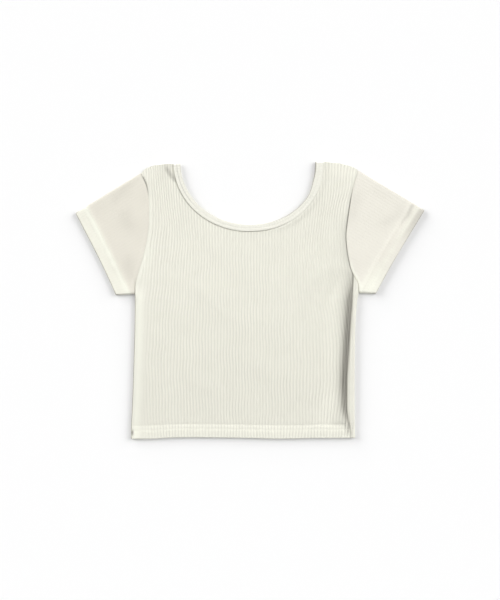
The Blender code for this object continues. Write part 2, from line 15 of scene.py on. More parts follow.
import bpy
import numpy as np
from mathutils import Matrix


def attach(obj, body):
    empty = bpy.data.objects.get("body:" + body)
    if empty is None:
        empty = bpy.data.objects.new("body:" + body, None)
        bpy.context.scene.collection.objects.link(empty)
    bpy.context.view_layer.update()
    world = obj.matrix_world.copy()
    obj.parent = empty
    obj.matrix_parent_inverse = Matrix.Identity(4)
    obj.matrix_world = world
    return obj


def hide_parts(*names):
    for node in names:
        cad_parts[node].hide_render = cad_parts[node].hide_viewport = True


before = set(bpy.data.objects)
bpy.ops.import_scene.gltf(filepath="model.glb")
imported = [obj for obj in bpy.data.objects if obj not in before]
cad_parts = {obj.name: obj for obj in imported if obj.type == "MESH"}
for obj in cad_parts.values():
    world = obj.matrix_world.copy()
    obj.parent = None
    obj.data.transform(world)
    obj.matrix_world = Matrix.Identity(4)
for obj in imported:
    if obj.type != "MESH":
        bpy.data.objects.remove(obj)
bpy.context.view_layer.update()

Array = np.ndarray
log = logging.getLogger("crop_top")

MM = 0.001


class Hand(Enum):
    """The side of the garment, as it lies."""

    LEFT = -1
    RIGHT = 1


# ---------------------------------------------------------------- curves


def ramp(low: float | Array, high: float | Array, value: float | Array) -> Array:
    """A smooth slope from 0 to 1.

    Args:
        low: where the slope starts.
        high: where it ends.
        value: where it is read.

    Returns:
        0 below low, 1 above high, and an S-shaped slope between.
    """
    t = np.clip((value - low) / (high - low), 0.0, 1.0)
    return t * t * (3.0 - 2.0 * t)


def fade(low: float | Array, high: float | Array, value: float | Array) -> Array:
    """The same slope the other way: 1 below low and 0 above high."""
    return 1.0 - ramp(low, high, value)


def bump(centre: float | Array, width: float, value: float | Array) -> Array:
    """A soft ridge of height 1.

    Args:
        centre: where the ridge is highest.
        width: the distance at which it has fallen to about a third.
        value: where it is read.

    Returns:
        The ridge's height.
    """
    return np.exp(-(((value - centre) / width) ** 2))


@dataclass(frozen=True)
class Slope:
    """Where a smooth slope starts and ends."""

    low: float
    high: float

    def rise(self, value: float | Array) -> Array:
        """0 before the slope and 1 after it."""
        return ramp(self.low, self.high, value)

    def fall(self, value: float | Array) -> Array:
        """1 before the slope and 0 after it."""
        return fade(self.low, self.high, value)


def smooth_curve(at: float | Array, knots: list[float], values: list[float]) -> Array:
    """A curve through a table's values that never overshoots them.

    Args:
        at: where the curve is read.
        knots: the table's rising arguments.
        values: the table's values.

    Returns:
        The curve's values.
    """
    x, y = np.asarray(knots, float), np.asarray(values, float)
    steps = np.diff(x)
    slopes = np.diff(y) / steps
    same_way = slopes[:-1] * slopes[1:] > 0
    harmonic = 2 * slopes[:-1] * slopes[1:] / np.where(same_way, slopes[:-1] + slopes[1:], 1.0)
    tangents = np.concatenate([slopes[:1], np.where(same_way, harmonic, 0.0), slopes[-1:]])
    i = np.clip(np.searchsorted(x, at) - 1, 0, len(steps) - 1)
    t = np.clip((at - x[i]) / steps[i], 0.0, 1.0)
    rise = y[i] * (1 + 2 * t) * (1 - t) ** 2 + y[i + 1] * t * t * (3 - 2 * t)
    return rise + steps[i] * t * (1 - t) * (tangents[i] * (1 - t) - tangents[i + 1] * t)


@dataclass(frozen=True)
class Point:
    """A point of a seam in the plane of the garment."""

    x: float
    y: float


def table_of(*pairs: tuple[float, float]) -> tuple[Point, ...]:
    """A table of points, written as pairs of x and y."""
    return tuple(Point(x, y) for x, y in pairs)


def x_at(table: tuple[Point, ...], y: Array) -> Array:
    """The x of a table's smooth line at height y."""
    return smooth_curve(y, [p.y for p in table], [p.x for p in table])


@dataclass(frozen=True)
class SideRow:
    """The side edges at one height, the side seam on the right and how far its trough gapes."""

    y: float
    left: float
    right: float
    seam: float
    gape: float


@dataclass(frozen=True)
class Neck:
    """Half an ellipse, fuller on the right: the seam between a panel and the neck binding."""

    centre_x: float
    centre_y: float
    half_width: float
    depth: float
    fullness: float = 2.12

    def height(self, x: Array) -> Array:
        """The seam's y at x, far up outside the neck."""
        u = (x - self.centre_x) / self.half_width
        power = np.where(u > 0, self.fullness, 2.0)
        inside = 1.0 - np.abs(u) ** power
        down = self.depth * np.clip(inside, 0, 1) ** (1.0 / power)
        return np.where(inside > 0, self.centre_y - down, 999.0)

    def distance(self, x: Array, y: Array) -> Array:
        """How far a point lies outside the seam, nearly."""
        u = (x - self.centre_x) / self.half_width
        v = np.minimum(y - self.centre_y, 0.0) / self.depth
        power = np.where(u > 0, self.fullness, 2.0)
        reach = np.maximum((np.abs(u) ** power + np.abs(v) ** power) ** (1.0 / power), 1e-6)
        across = (np.abs(u) / reach) ** (power - 1.0) / self.half_width
        up = (np.abs(v) / reach) ** (power - 1.0) / self.depth
        return (reach - 1.0) / np.hypot(across, up)

    def curve(self, turn: Array) -> tuple[Array, Array]:
        """Points of the seam's curve and the way into the neck.

        Args:
            turn: angles round the curve, 0 on the right.

        Returns:
            Points, and a unit vector inwards from each.
        """
        cos, sin = np.cos(turn), np.sin(turn)
        power = np.where(cos > 0, self.fullness, 2.0)
        u = np.sign(cos) * np.abs(cos) ** (2.0 / power)
        v = np.sign(sin) * np.abs(sin) ** (2.0 / power)
        points = np.stack(
            [self.centre_x + self.half_width * u, self.centre_y + self.depth * v], axis=1
        )
        across = np.sign(u) * np.abs(u) ** (power - 1.0) / self.half_width
        up = np.sign(v) * np.abs(v) ** (power - 1.0) / self.depth
        inward = -np.stack([across, up], axis=1)
        return points, inward / np.linalg.norm(inward, axis=1)[:, None]

    def stations(self, end_left: float, end_right: float, count: int) -> tuple[Array, Array]:
        """Evenly spaced stations along the seam.

        Args:
            end_left: y of the run's left top.
            end_right: y of its right top.
            count: how many stations.

        Returns:
            Points on the seam, and unit vectors from each into the neck.
        """
        start = math.pi + math.asin((self.centre_y - end_left) / self.depth)
        low = ((self.centre_y - end_right) / self.depth) ** (self.fullness / 2.0)
        turn = np.linspace(start, 2 * math.pi - math.asin(low), 4000)
        steps = np.linalg.norm(np.diff(self.curve(turn)[0], axis=0), axis=1)
        reach = np.concatenate([[0.0], np.cumsum(steps)])
        return self.curve(np.interp(np.linspace(0.0, reach[-1], count), reach, turn))


def curve_points(points: tuple[Point, ...], steps: int = 8) -> Array:
    """A smooth line through a table's points.

    Args:
        points: the table.
        steps: points in each of its spans.

    Returns:
        An array of x and y.
    """
    path = np.array([(p.x, p.y) for p in points])
    reach = np.concatenate([[0.0], np.cumsum(np.linalg.norm(np.diff(path, axis=0), axis=1))])
    at = np.concatenate([np.linspace(a, b, steps, endpoint=False) for a, b in zip(reach, reach[1:])])
    at = np.append(at, reach[-1])
    return np.stack([smooth_curve(at, reach, path[:, k]) for k in (0, 1)], axis=1)


@dataclass(frozen=True)
class Crease:
    """A soft ridge, or a trough where its height is negative, between two points."""

    start: tuple[float, float]
    end: tuple[float, float]
    width: float
    height: float

    def rise(self, x: Array, y: Array) -> Array:
        """The crease's height at each point, faded out at its two ends."""
        along = np.array(self.end) - np.array(self.start)
        length = float(np.hypot(*along))
        along /= length
        dx, dy = x - self.start[0], y - self.start[1]
        t = (dx * along[0] + dy * along[1]) / length
        off = dx * along[1] - dy * along[0]
        sway = 0.06 * length * np.sin(math.pi * np.clip(t, 0, 1))
        share = ramp(-0.12, 0.3, t) * fade(0.6, 1.12, t)
        return self.height * bump(sway, self.width, off) * share


# ---------------------------------------------------------------- the garment's cut, as it lies


@dataclass(frozen=True)
class Cut:
    """The seams and edges that the pieces share."""

    wall: float = 1.2
    wall_share: float = 0.97
    seam: float = 0.35
    binding_seam: float = 0.1
    sleeve_seam: float = 0.06
    rib_pitch: float = 4.7
    rib_height: float = 0.6
    hem_depth: float = 21.5
    hem_slope: float = 7.0
    front_top: float = 3.9
    hem_top: float = 5.15
    shoulder_top: float = 2.75
    shoulder_slope: float = 22.0
    trough_floor: float = 2.85
    front_neck: Neck = Neck(-1.2, 216.4, 118.4, 108.8)
    back_neck: Neck = Neck(-1.2, 216.4, 118.4, 110.0)
    sides: tuple[SideRow, ...] = (
        SideRow(-217.2, -186.4, 166.2, 159.0, 0.0),
        SideRow(-201.0, -186.2, 165.7, 157.2, 0.0),
        SideRow(-190.0, -185.9, 165.4, 155.0, 0.5),
        SideRow(-165.0, -184.6, 165.2, 152.6, 0.9),
        SideRow(-130.0, -183.2, 165.2, 152.8, 1.0),
        SideRow(-96.0, -182.2, 165.4, 154.6, 1.0),
        SideRow(-47.0, -180.8, 166.2, 157.8, 1.0),
        SideRow(-2.0, -180.2, 169.0, 161.0, 0.85),
        SideRow(12.0, -180.3, 171.6, 161.6, 0.55),
        SideRow(30.0, -180.3, 171.6, 162.0, 0.2),
        SideRow(42.0, -180.3, 171.6, 162.2, 0.0),
        SideRow(60.0, -180.3, 174.0, 166.0, 0.0),
        SideRow(226.0, -180.3, 180.0, 172.0, 0.0),
    )
    armhole_left: tuple[Point, ...] = table_of(
        (-186.0, 1.5), (-180.6, 9.0), (-179.4, 23.6), (-174.4, 43.3), (-166.6, 69.3),
        (-160.7, 98.4), (-157.7, 126.0), (-157.7, 150.0), (-160.9, 175.2), (-170.4, 199.4),
    )
    armhole_right: tuple[Point, ...] = table_of(
        (172.6, 10.8), (171.6, 21.6), (169.0, 29.4), (165.2, 36.4), (161.5, 44.0), (158.0, 54.5),
        (153.0, 84.0), (151.9, 100.0), (153.2, 117.0), (156.8, 143.0), (162.6, 177.2),
        (170.6, 204.2),
    )
    shoulder_left: tuple[Point, ...] = table_of(
        (-170.4, 199.4), (-163.4, 206.6), (-149.0, 212.0), (-131.5, 214.2), (-100.0, 214.2),
    )
    shoulder_right: tuple[Point, ...] = table_of(
        (96.0, 218.1), (111.0, 218.1), (142.5, 214.6), (162.2, 209.5), (170.6, 204.2),
    )
    hem_waves: tuple[Point, ...] = table_of(
        (-186.0, -1.3), (-178.0, -1.2), (-150.0, -0.8), (-122.0, 0.8), (-94.0, 1.3), (-40.0, 0.8),
        (0.0, 0.1), (48.0, -0.9), (76.0, -0.5), (110.0, 0.2), (166.0, 0.3),
    )
    rib_lean_left: tuple[Point, ...] = table_of(
        (-1.0, -218.0), (-4.0, -150.0), (-5.0, -110.0), (-2.5, -40.0), (2.0, 20.0), (7.0, 80.0),
        (11.0, 137.0), (9.0, 200.0), (7.0, 218.0),
    )
    rib_lean_right: tuple[Point, ...] = table_of(
        (1.0, -218.0), (4.0, -180.0), (8.0, -130.0), (9.0, -90.0), (6.5, -50.0), (0.0, 0.0),
        (-6.5, 44.0), (-10.0, 86.0), (-11.0, 115.0), (-9.0, 145.0), (-2.0, 180.0), (4.0, 218.0),
    )
    rib_sway: float = 0.45
    # where the pull, the seams and the hem's wave begin and end
    pulled_left: Slope = Slope(-20.0, -165.0)
    pulled_right: Slope = Slope(40.0, 150.0)
    clear_of_neck: Slope = Slope(0.0, 60.0)
    flush_side: Slope = Slope(20.0, 75.0)
    middle: Slope = Slope(-60.0, 0.0)
    neck_top: Slope = Slope(194.0, 206.0)
    hem_rise: float = 11.0
    wave_end: Slope = Slope(10.0, 90.0)
    drawn_left: Slope = Slope(156.0, 184.0)
    drawn_right: tuple[Slope, Slope] = (Slope(18.0, 58.0), Slope(152.0, 180.0))
    seam_shadow: Slope = Slope(0.1, 1.4)
    # how much sooner than the crest the trough's floor and its wall are whole
    floor_gape: float = 1.5
    wall_gape: float = 3.0
    # stand-ins for an edge or a distance where there is no seam
    no_edge: float = 400.0
    far_off: float = 99.0
    past_end: float = 60.0

    def side(self, column: str, y: Array) -> Array:
        """One column of the side table at height y."""
        return smooth_curve(y, [r.y for r in self.sides], [getattr(r, column) for r in self.sides])

    def gaping(self, y: Array, quickness: float) -> Array:
        """How open the trough is at height y, from 0 to 1: the quicker, the nearer 1 at its ends."""
        return np.minimum(1.0, quickness * self.side("gape", y))

    def limit(self, hand: Hand, y: Array) -> Array:
        """The x at which an armhole or shoulder cuts a panel off at height y."""
        hole = self.armhole_left if hand is Hand.LEFT else self.armhole_right
        top = self.shoulder_left if hand is Hand.LEFT else self.shoulder_right[::-1]
        line = np.concatenate([curve_points(hole), curve_points(top[:3])[1:]])
        below = hand.value * self.no_edge
        return np.interp(y, line[:, 1], line[:, 0], left=below, right=line[-1, 0])

    def shoulder(self, x: Array) -> Array:
        """The y of the shoulder line above x, flat across the neck."""
        line = [*self.shoulder_left, *self.shoulder_right]
        return np.interp(x, [p.x for p in line], [p.y for p in line])

    def top_edge(self, neck: Neck, x: Array) -> Array:
        """The y at which a column of a panel ends: its neck's seam or the shoulder."""
        bound = np.clip(x, self.shoulder_left[2].x, self.shoulder_right[2].x)
        shoulder = self.shoulder(bound)
        edge = np.minimum(shoulder, neck.height(bound))
        return np.where(np.abs(x - neck.centre_x) < neck.half_width, edge, shoulder)

    @property
    def bottom(self) -> float:
        """The y of the lower edge."""
        return self.sides[0].y

    def hem_share(self, y: Array) -> Array:
        """1 in the hem and 0 above it."""
        top = self.bottom + self.hem_depth
        return fade(top - self.hem_rise, top + 0.5, y)

    def layers(self, y: Array) -> Array:
        """How many layers of cloth lie in a panel's wall: 2 in the hem, 1 above it."""
        top = self.bottom + self.hem_depth
        return 2.0 - ramp(top, top + 1.0, y)

    def hem_wave(self, x: Array, y: Array) -> Array:
        """How far up the lower edge is pushed, fading out up the body."""
        wave = smooth_curve(x, [p.x for p in self.hem_waves], [p.y for p in self.hem_waves])
        return wave * self.wave_end.fall(y - self.bottom)

    def armhole_distance(self, hand: Hand, x: Array, y: Array) -> Array:
        """How far inside the armhole seam a point of a panel lies, nearly, and far at the shoulder."""
        top = (self.armhole_left if hand is Hand.LEFT else self.armhole_right)[-1].y
        edge, above = self.limit(hand, y), self.limit(hand, y + 1.0)
        slope = 1.0 / np.sqrt(1.0 + np.clip(above - edge, -3, 3) ** 2)
        inside = (edge - x) * hand.value * slope
        inside = np.where(np.abs(edge) == self.no_edge, self.far_off, inside)
        return inside + self.past_end * ramp(top - 5.0, top + 1.0, y)

    def seam_mark(self, hand: Hand, y: Array) -> Array:
        """How tightly the armhole's seam is drawn in, from 0 to 1, which also sets the painted shade along
        it and the painted highlights on its beads.
        """
        if hand is Hand.LEFT:
            return 0.06 + 0.94 * self.drawn_left.rise(y)
        low, high = self.drawn_right
        return 0.15 + 0.85 * high.fall(y) * low.rise(y)

    def lean(self, c: Array, y: Array) -> Array:
        """How far the ribs are pulled sideways, towards the armholes' curves and not at the neck."""
        pulled = x_at(self.rib_lean_left, y) * self.pulled_left.rise(c)
        pulled = pulled + x_at(self.rib_lean_right, y) * self.pulled_right.rise(c)
        sway = np.sin(y / 13.0 + c / 22.0) + 0.7 * np.sin(y / 7.5 - c / 15.0 + 1.3)
        return (pulled + self.rib_sway * sway) * self.clear_of_neck.rise(self.front_neck.distance(c, y))

    def rib_line(self, x: Array, y: Array) -> Array:
        """Where across the cloth a point lies, which sets its place in the ribbing."""
        c = np.array(x, float)
        for _ in range(7):
            c = x - self.lean(c, y)
        return c

    def rib(self, c: Array) -> Array:
        """The ribs' profile: 1 on a crest's top, 0 at the bottom of a furrow."""
        wave = 0.5 + 0.5 * np.cos(2 * math.pi * c / self.rib_pitch)
        return wave**0.7


# ---------------------------------------------------------------- shells of cloth


def normals_of(grid: Array) -> Array:
    """Unit normals of a grid of points, right-handed for rows that run up and columns to the right.

    Args:
        grid: points in rows and columns.

    Returns:
        A unit vector for each point.
    """
    across = np.gradient(grid, axis=1)
    up = np.gradient(grid, axis=0)
    facing = np.cross(across, up)
    size = np.linalg.norm(facing, axis=2, keepdims=True)
    for _ in range(3):
        empty = size[..., 0] < 1e-9
        if not empty.any():
            break
        for shift in (1, -1):
            moved, moved_size = np.roll(facing, shift, axis=1), np.roll(size, shift, axis=1)
            facing = np.where(size < 1e-9, moved, facing)
            size = np.where(size < 1e-9, moved_size, size)
    return facing / np.maximum(size, 1e-9)


def make_piece(name: str, grid: Array, faces: list[tuple[int, ...]]) -> bpy.types.Object:
    """Makes a smooth piece at the origin, with its place in its mesh.

    Args:
        name: the piece's name.
        grid: its points, in millimetres.
        faces: the numbers of each face's points.

    Returns:
        The new object.
    """
    mesh = bpy.data.meshes.new(name)
    mesh.from_pydata((grid * MM).tolist(), [], faces)
    mesh.validate()
    mesh.shade_smooth()
    obj = bpy.data.objects.new(name, mesh)
    bpy.context.scene.collection.objects.link(obj)
    return obj


def paint(mesh: bpy.types.Mesh, uv: Array, shade: Array) -> None:
    """Writes the UV map, in metres of cloth, the painted shade, and how pale the cloth is painted.

    Args:
        mesh: the mesh.
        uv: each point's place on the cloth, in millimetres.
        shade: how much painted shade each point has, and how pale it is painted there, for double cloth and
            painted highlights.
    """
    corner = np.zeros(len(mesh.loops), dtype=np.int32)
    mesh.loops.foreach_get("vertex_index", corner)
    layer = mesh.uv_layers.new(name="cloth")
    layer.data.foreach_set("uv", (uv * MM)[corner].astype(np.float32).reshape(-1))
    for column, name in enumerate(("painted_shade", "doubled_and_highlight")):
        attribute = mesh.attributes.new(name, "FLOAT", "POINT")
        attribute.data.foreach_set("value", shade[:, column].astype(np.float32))


@dataclass
class Shell:
    """A closed wall of cloth: a fine outside, and an inside with one column to every step."""

    name: str
    outside: Array
    inside: Array
    step: int
    uv: Array
    shade: Array
    ring: bool = False
    crease_angle: float = 50.0

    def _numbers(self, grid: Array, start: int) -> Array:
        """Numbers the points of a grid, giving those of a row that coincide one number."""
        rows, columns = grid.shape[:2]
        same = np.linalg.norm(np.diff(grid, axis=1), axis=2) < 1e-5
        fresh = np.concatenate([np.ones((rows, 1), bool), ~same], axis=1)
        return start + np.cumsum(fresh.reshape(-1)).reshape(rows, columns) - 1

    @staticmethod
    def _clean(corners: list[int]) -> tuple[int, ...] | None:
        """A face's corners with repeats left out, or None for a face with no area."""
        kept = [v for k, v in enumerate(corners) if v != corners[k - 1]]
        return tuple(kept) if len(set(kept)) >= 3 and len(kept) == len(set(kept)) else None

    def build(self) -> bpy.types.Object:
        """Makes the mesh with its UV map and its shading attribute.

        Returns:
            The new object, at the origin, with its place in its mesh.
        """
        outer = self._numbers(self.outside, 0)
        inner = self._numbers(self.inside, int(outer.max()) + 1)
        count = int(inner.max()) + 1
        points, uv, shade = np.zeros((count, 3)), np.zeros((count, 2)), np.zeros((count, 2))
        for grid, index, step in ((self.outside, outer, 1), (self.inside, inner, self.step)):
            points[index.reshape(-1)] = grid.reshape(-1, 3)
            uv[index.reshape(-1)] = self.uv[:, ::step].reshape(-1, 2)[: index.size]
            shade[index.reshape(-1)] = self.shade[:, ::step].reshape(-1, 2)[: index.size]
        faces: list[tuple[int, ...]] = []
        for index, flip in ((outer, False), (inner, True)):
            last = index.shape[1] if self.ring else index.shape[1] - 1
            for low, high in zip(index.tolist(), index[1:].tolist()):
                for i in range(last):
                    j = (i + 1) % len(low)
                    corners = [low[i], low[j], high[j], high[i]]
                    face = self._clean(corners[::-1] if flip else corners)
                    if face:
                        faces.append(face)
        faces += self._rims(outer, inner)
        obj = make_piece(self.name, points, faces)
        paint(obj.data, uv, shade)
        obj.data.set_sharp_from_angle(angle=math.radians(self.crease_angle))
        return obj

    def _rims(self, outer: Array, inner: Array) -> list[tuple[int, ...]]:
        """The faces that join the outside to the inside along the shell's edges."""
        found = []
        fine, cells = outer.shape[1], inner.shape[1] if self.ring else inner.shape[1] - 1
        for row, flip in ((0, True), (-1, False)):
            out_row, in_row = outer[row].tolist(), inner[row].tolist()
            for i in range(cells):
                rim = [out_row[k % fine] for k in range(i * self.step, (i + 1) * self.step + 1)]
                corners = rim + [in_row[(i + 1) % len(in_row)], in_row[i]]
                found.append(self._clean(corners[::-1] if flip else corners))
        if not self.ring:
            for edge, flip in ((0, False), (-1, True)):
                out_edge, in_edge = outer[:, edge].tolist(), inner[:, edge].tolist()
                for j in range(len(out_edge) - 1):
                    corners = [out_edge[j], out_edge[j + 1], in_edge[j + 1], in_edge[j]]
                    found.append(self._clean(corners[::-1] if flip else corners))
        return [face for face in found if face]


# ---------------------------------------------------------------- finishes


class Nodes:
    """A short way to write a material's nodes."""

    def __init__(self, name: str) -> None:
        """Starts an empty material with a Principled shader.

        Args:
            name: the material's name.
        """
        self.material = bpy.data.materials.new(name)
        self.material.use_nodes = True
        self.tree = self.material.node_tree
        self.shader = self.tree.nodes["Principled BSDF"]

    def add(self, kind: str, inputs: dict | None = None, **values: object) -> bpy.types.Node:
        """Adds a node.

        Args:
            kind: its type.
            inputs: what goes into its sockets, by name or number.
            values: its properties.

        Returns:
            The new node.
        """
        node = self.tree.nodes.new(kind)
        for key, value in values.items():
            setattr(node, key, value)
        self.feed(node, inputs or {})
        return node

    def feed(self, node: bpy.types.Node, inputs: dict) -> None:
        """Sets a node's sockets to values, or joins them to other nodes' outputs."""
        for name, value in inputs.items():
            if isinstance(value, bpy.types.NodeSocket):
                self.tree.links.new(value, node.inputs[name])
            else:
                node.inputs[name].default_value = value

    def math(self, operation: str, *inputs: object) -> bpy.types.NodeSocket:
        """The output of a Math node whose inputs are numbers or sockets, in order."""
        return self.add("ShaderNodeMath", dict(enumerate(inputs)), operation=operation).outputs[0]

    def mix(self, share: bpy.types.NodeSocket, low: object, high: object) -> bpy.types.NodeSocket:
        """The output of a Mix node between two colours or sockets."""
        inputs = {"Factor": share, "A": low, "B": high}
        return self.add("ShaderNodeMix", inputs, data_type="RGBA").outputs["Result"]

    def attribute(self, name: str) -> bpy.types.NodeSocket:
        """The output that reads one of the mesh's own values."""
        return self.add("ShaderNodeAttribute", attribute_name=name).outputs["Fac"]

    def bump(self, height: bpy.types.NodeSocket, strength: float, distance: float) -> None:
        """Raises the surface by a height, over a distance in metres."""
        inputs = {"Strength": strength, "Distance": distance, "Height": height}
        relief = self.add("ShaderNodeBump", inputs)
        self.feed(self.shader, {"Normal": relief.outputs["Normal"]})


@dataclass(frozen=True)
class KnitFinish:
    """Ribbed knit: rows of V-shaped stitches, a soft fuzz and slight changes of tone."""

    name: str
    colour: tuple[float, float, float]
    # colour of the painted shade, mixed in where the cloth lies in shade
    deep_shade: tuple[float, float, float] = (0.20, 0.19, 0.165)
    # pale colour mixed in for double cloth and for painted highlights
    opaque_and_highlight: tuple[float, float, float] = (0.93, 0.93, 0.82)
    roughness: float = 0.92
    sheen: float = 0.12
    sheen_roughness: float = 0.5
    specular: float = 0.25
    wale: float = 1.175
    course: float = 0.95
    slant: float = 1.1
    stitch_depth: float = 0.10
    drawn_ribs: float = 0.0
    rib_pitch: float = 4.7
    tone: float = 0.03
    cloud_scale: float = 22.0
    fuzz_scale: float = 2600.0

    def build(self) -> bpy.types.Material:
        """Makes the material.

        Returns:
            The finished material, which reads the UV map "cloth" and the attributes of the mesh.
        """
        nodes = Nodes(self.name)
        values = {
            "Roughness": self.roughness,
            "Sheen Weight": self.sheen,
            "Sheen Roughness": self.sheen_roughness,
            "Specular IOR Level": self.specular,
        }
        nodes.feed(nodes.shader, values)
        place = nodes.add("ShaderNodeUVMap", uv_map="cloth").outputs["UV"]
        parts = nodes.add("ShaderNodeSeparateXYZ", {0: place})
        self._colour(nodes, place)
        height = self._stitches(nodes, parts.outputs["X"], parts.outputs["Y"])
        inputs = {"Scale": self.fuzz_scale, "Detail": 2.0, "Vector": place}
        fuzz = nodes.add("ShaderNodeTexNoise", inputs)
        fuzz_height = nodes.math("MULTIPLY", fuzz.outputs["Fac"], 0.5 * self.stitch_depth)
        nodes.bump(nodes.math("ADD", height, fuzz_height), 1.0, MM)
        return nodes.material

    def _colour(self, nodes: Nodes, place: bpy.types.NodeSocket) -> None:
        """The yarn's colour, with clouds of tone, paler where the cloth lies double and where highlights
        are painted, with painted shade in hollows, seams and furrows.
        """
        inputs = {"Scale": self.cloud_scale, "Detail": 3.0, "Vector": place}
        clouds = nodes.add("ShaderNodeTexNoise", inputs)
        low = tuple(c * (1 - self.tone) for c in self.colour)
        high = tuple(min(1.0, c * (1 + self.tone)) for c in self.colour)
        colour = nodes.mix(clouds.outputs["Fac"], (*low, 1.0), (*high, 1.0))
        # paler for double cloth and for painted highlights
        colour = nodes.mix(nodes.attribute("doubled_and_highlight"), colour, (*self.opaque_and_highlight, 1.0))
        # painted shade: hollows, seams, furrows and folds darkened in the colour
        colour = nodes.mix(nodes.attribute("painted_shade"), colour, (*self.deep_shade, 1.0))
        nodes.feed(nodes.shader, {"Base Color": colour})

    def _stitches(
        self, nodes: Nodes, u: bpy.types.NodeSocket, v: bpy.types.NodeSocket
    ) -> bpy.types.NodeSocket:
        """The relief of the stitches, in millimetres."""
        across = nodes.math("FRACT", nodes.math("DIVIDE", u, self.wale * MM))
        off = nodes.math("ABSOLUTE", nodes.math("SUBTRACT", across, 0.5))
        rows = nodes.math("DIVIDE", v, self.course * MM)
        slanted = nodes.math("ADD", rows, nodes.math("MULTIPLY", off, -self.slant))
        wave = nodes.math("SINE", nodes.math("MULTIPLY", slanted, 2 * math.pi))
        loop = nodes.math("MULTIPLY_ADD", wave, 0.35, 0.5)
        limb = nodes.math("SINE", nodes.math("MULTIPLY", off, 2 * math.pi))
        height = nodes.math("MULTIPLY", nodes.math("MULTIPLY", loop, limb), self.stitch_depth)
        if self.drawn_ribs:
            turn = nodes.math("MULTIPLY", u, 2 * math.pi / (self.rib_pitch * MM))
            ribs = nodes.math("MULTIPLY", nodes.math("COSINE", turn), 0.5 * self.drawn_ribs)
            height = nodes.math("ADD", height, ribs)
        return height


@dataclass(frozen=True)
class ThreadFinish:
    """Polyester sewing thread: a twist of two plies with a slight gloss."""

    name: str = "needle_thread"
    colour: tuple[float, float, float] = (0.87, 0.86, 0.77)
    shaded: float = 0.88
    roughness: float = 0.55
    sheen: float = 0.1
    twist: float = 900.0
    ply_depth: float = 0.1

    def build(self) -> bpy.types.Material:
        """Makes the material."""
        nodes = Nodes(self.name)
        nodes.feed(nodes.shader, {"Roughness": self.roughness, "Sheen Weight": self.sheen})
        place = nodes.add("ShaderNodeTexCoord").outputs["Object"]
        inputs = {"Scale": self.twist, "Distortion": 0.6, "Vector": place}
        plies = nodes.add("ShaderNodeTexWave", inputs, bands_direction="DIAGONAL").outputs["Fac"]
        shaded = (*(self.shaded * c for c in self.colour), 1.0)
        nodes.feed(nodes.shader, {"Base Color": nodes.mix(plies, shaded, (*self.colour, 1.0))})
        nodes.bump(plies, 0.5, self.ply_depth * MM)
        return nodes.material


@dataclass(frozen=True)
class FloorFinish:
    """A plain, pale, matt floor."""

    name: str = "floor_white"
    colour: tuple[float, float, float] = (0.93, 0.93, 0.93)

    def build(self) -> bpy.types.Material:
        """Makes the material."""
        nodes = Nodes(self.name)
        values = {"Base Color": (*self.colour, 1.0), "Roughness": 1.0, "Specular IOR Level": 0.0}
        nodes.feed(nodes.shader, values)
        return nodes.material


def dress(obj: bpy.types.Object, material: bpy.types.Material) -> None:
    """Gives a piece its material and the body it rides on."""
    obj.data.materials.clear()
    obj.data.materials.append(material)
    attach(obj, "root")


# ---------------------------------------------------------------- panels


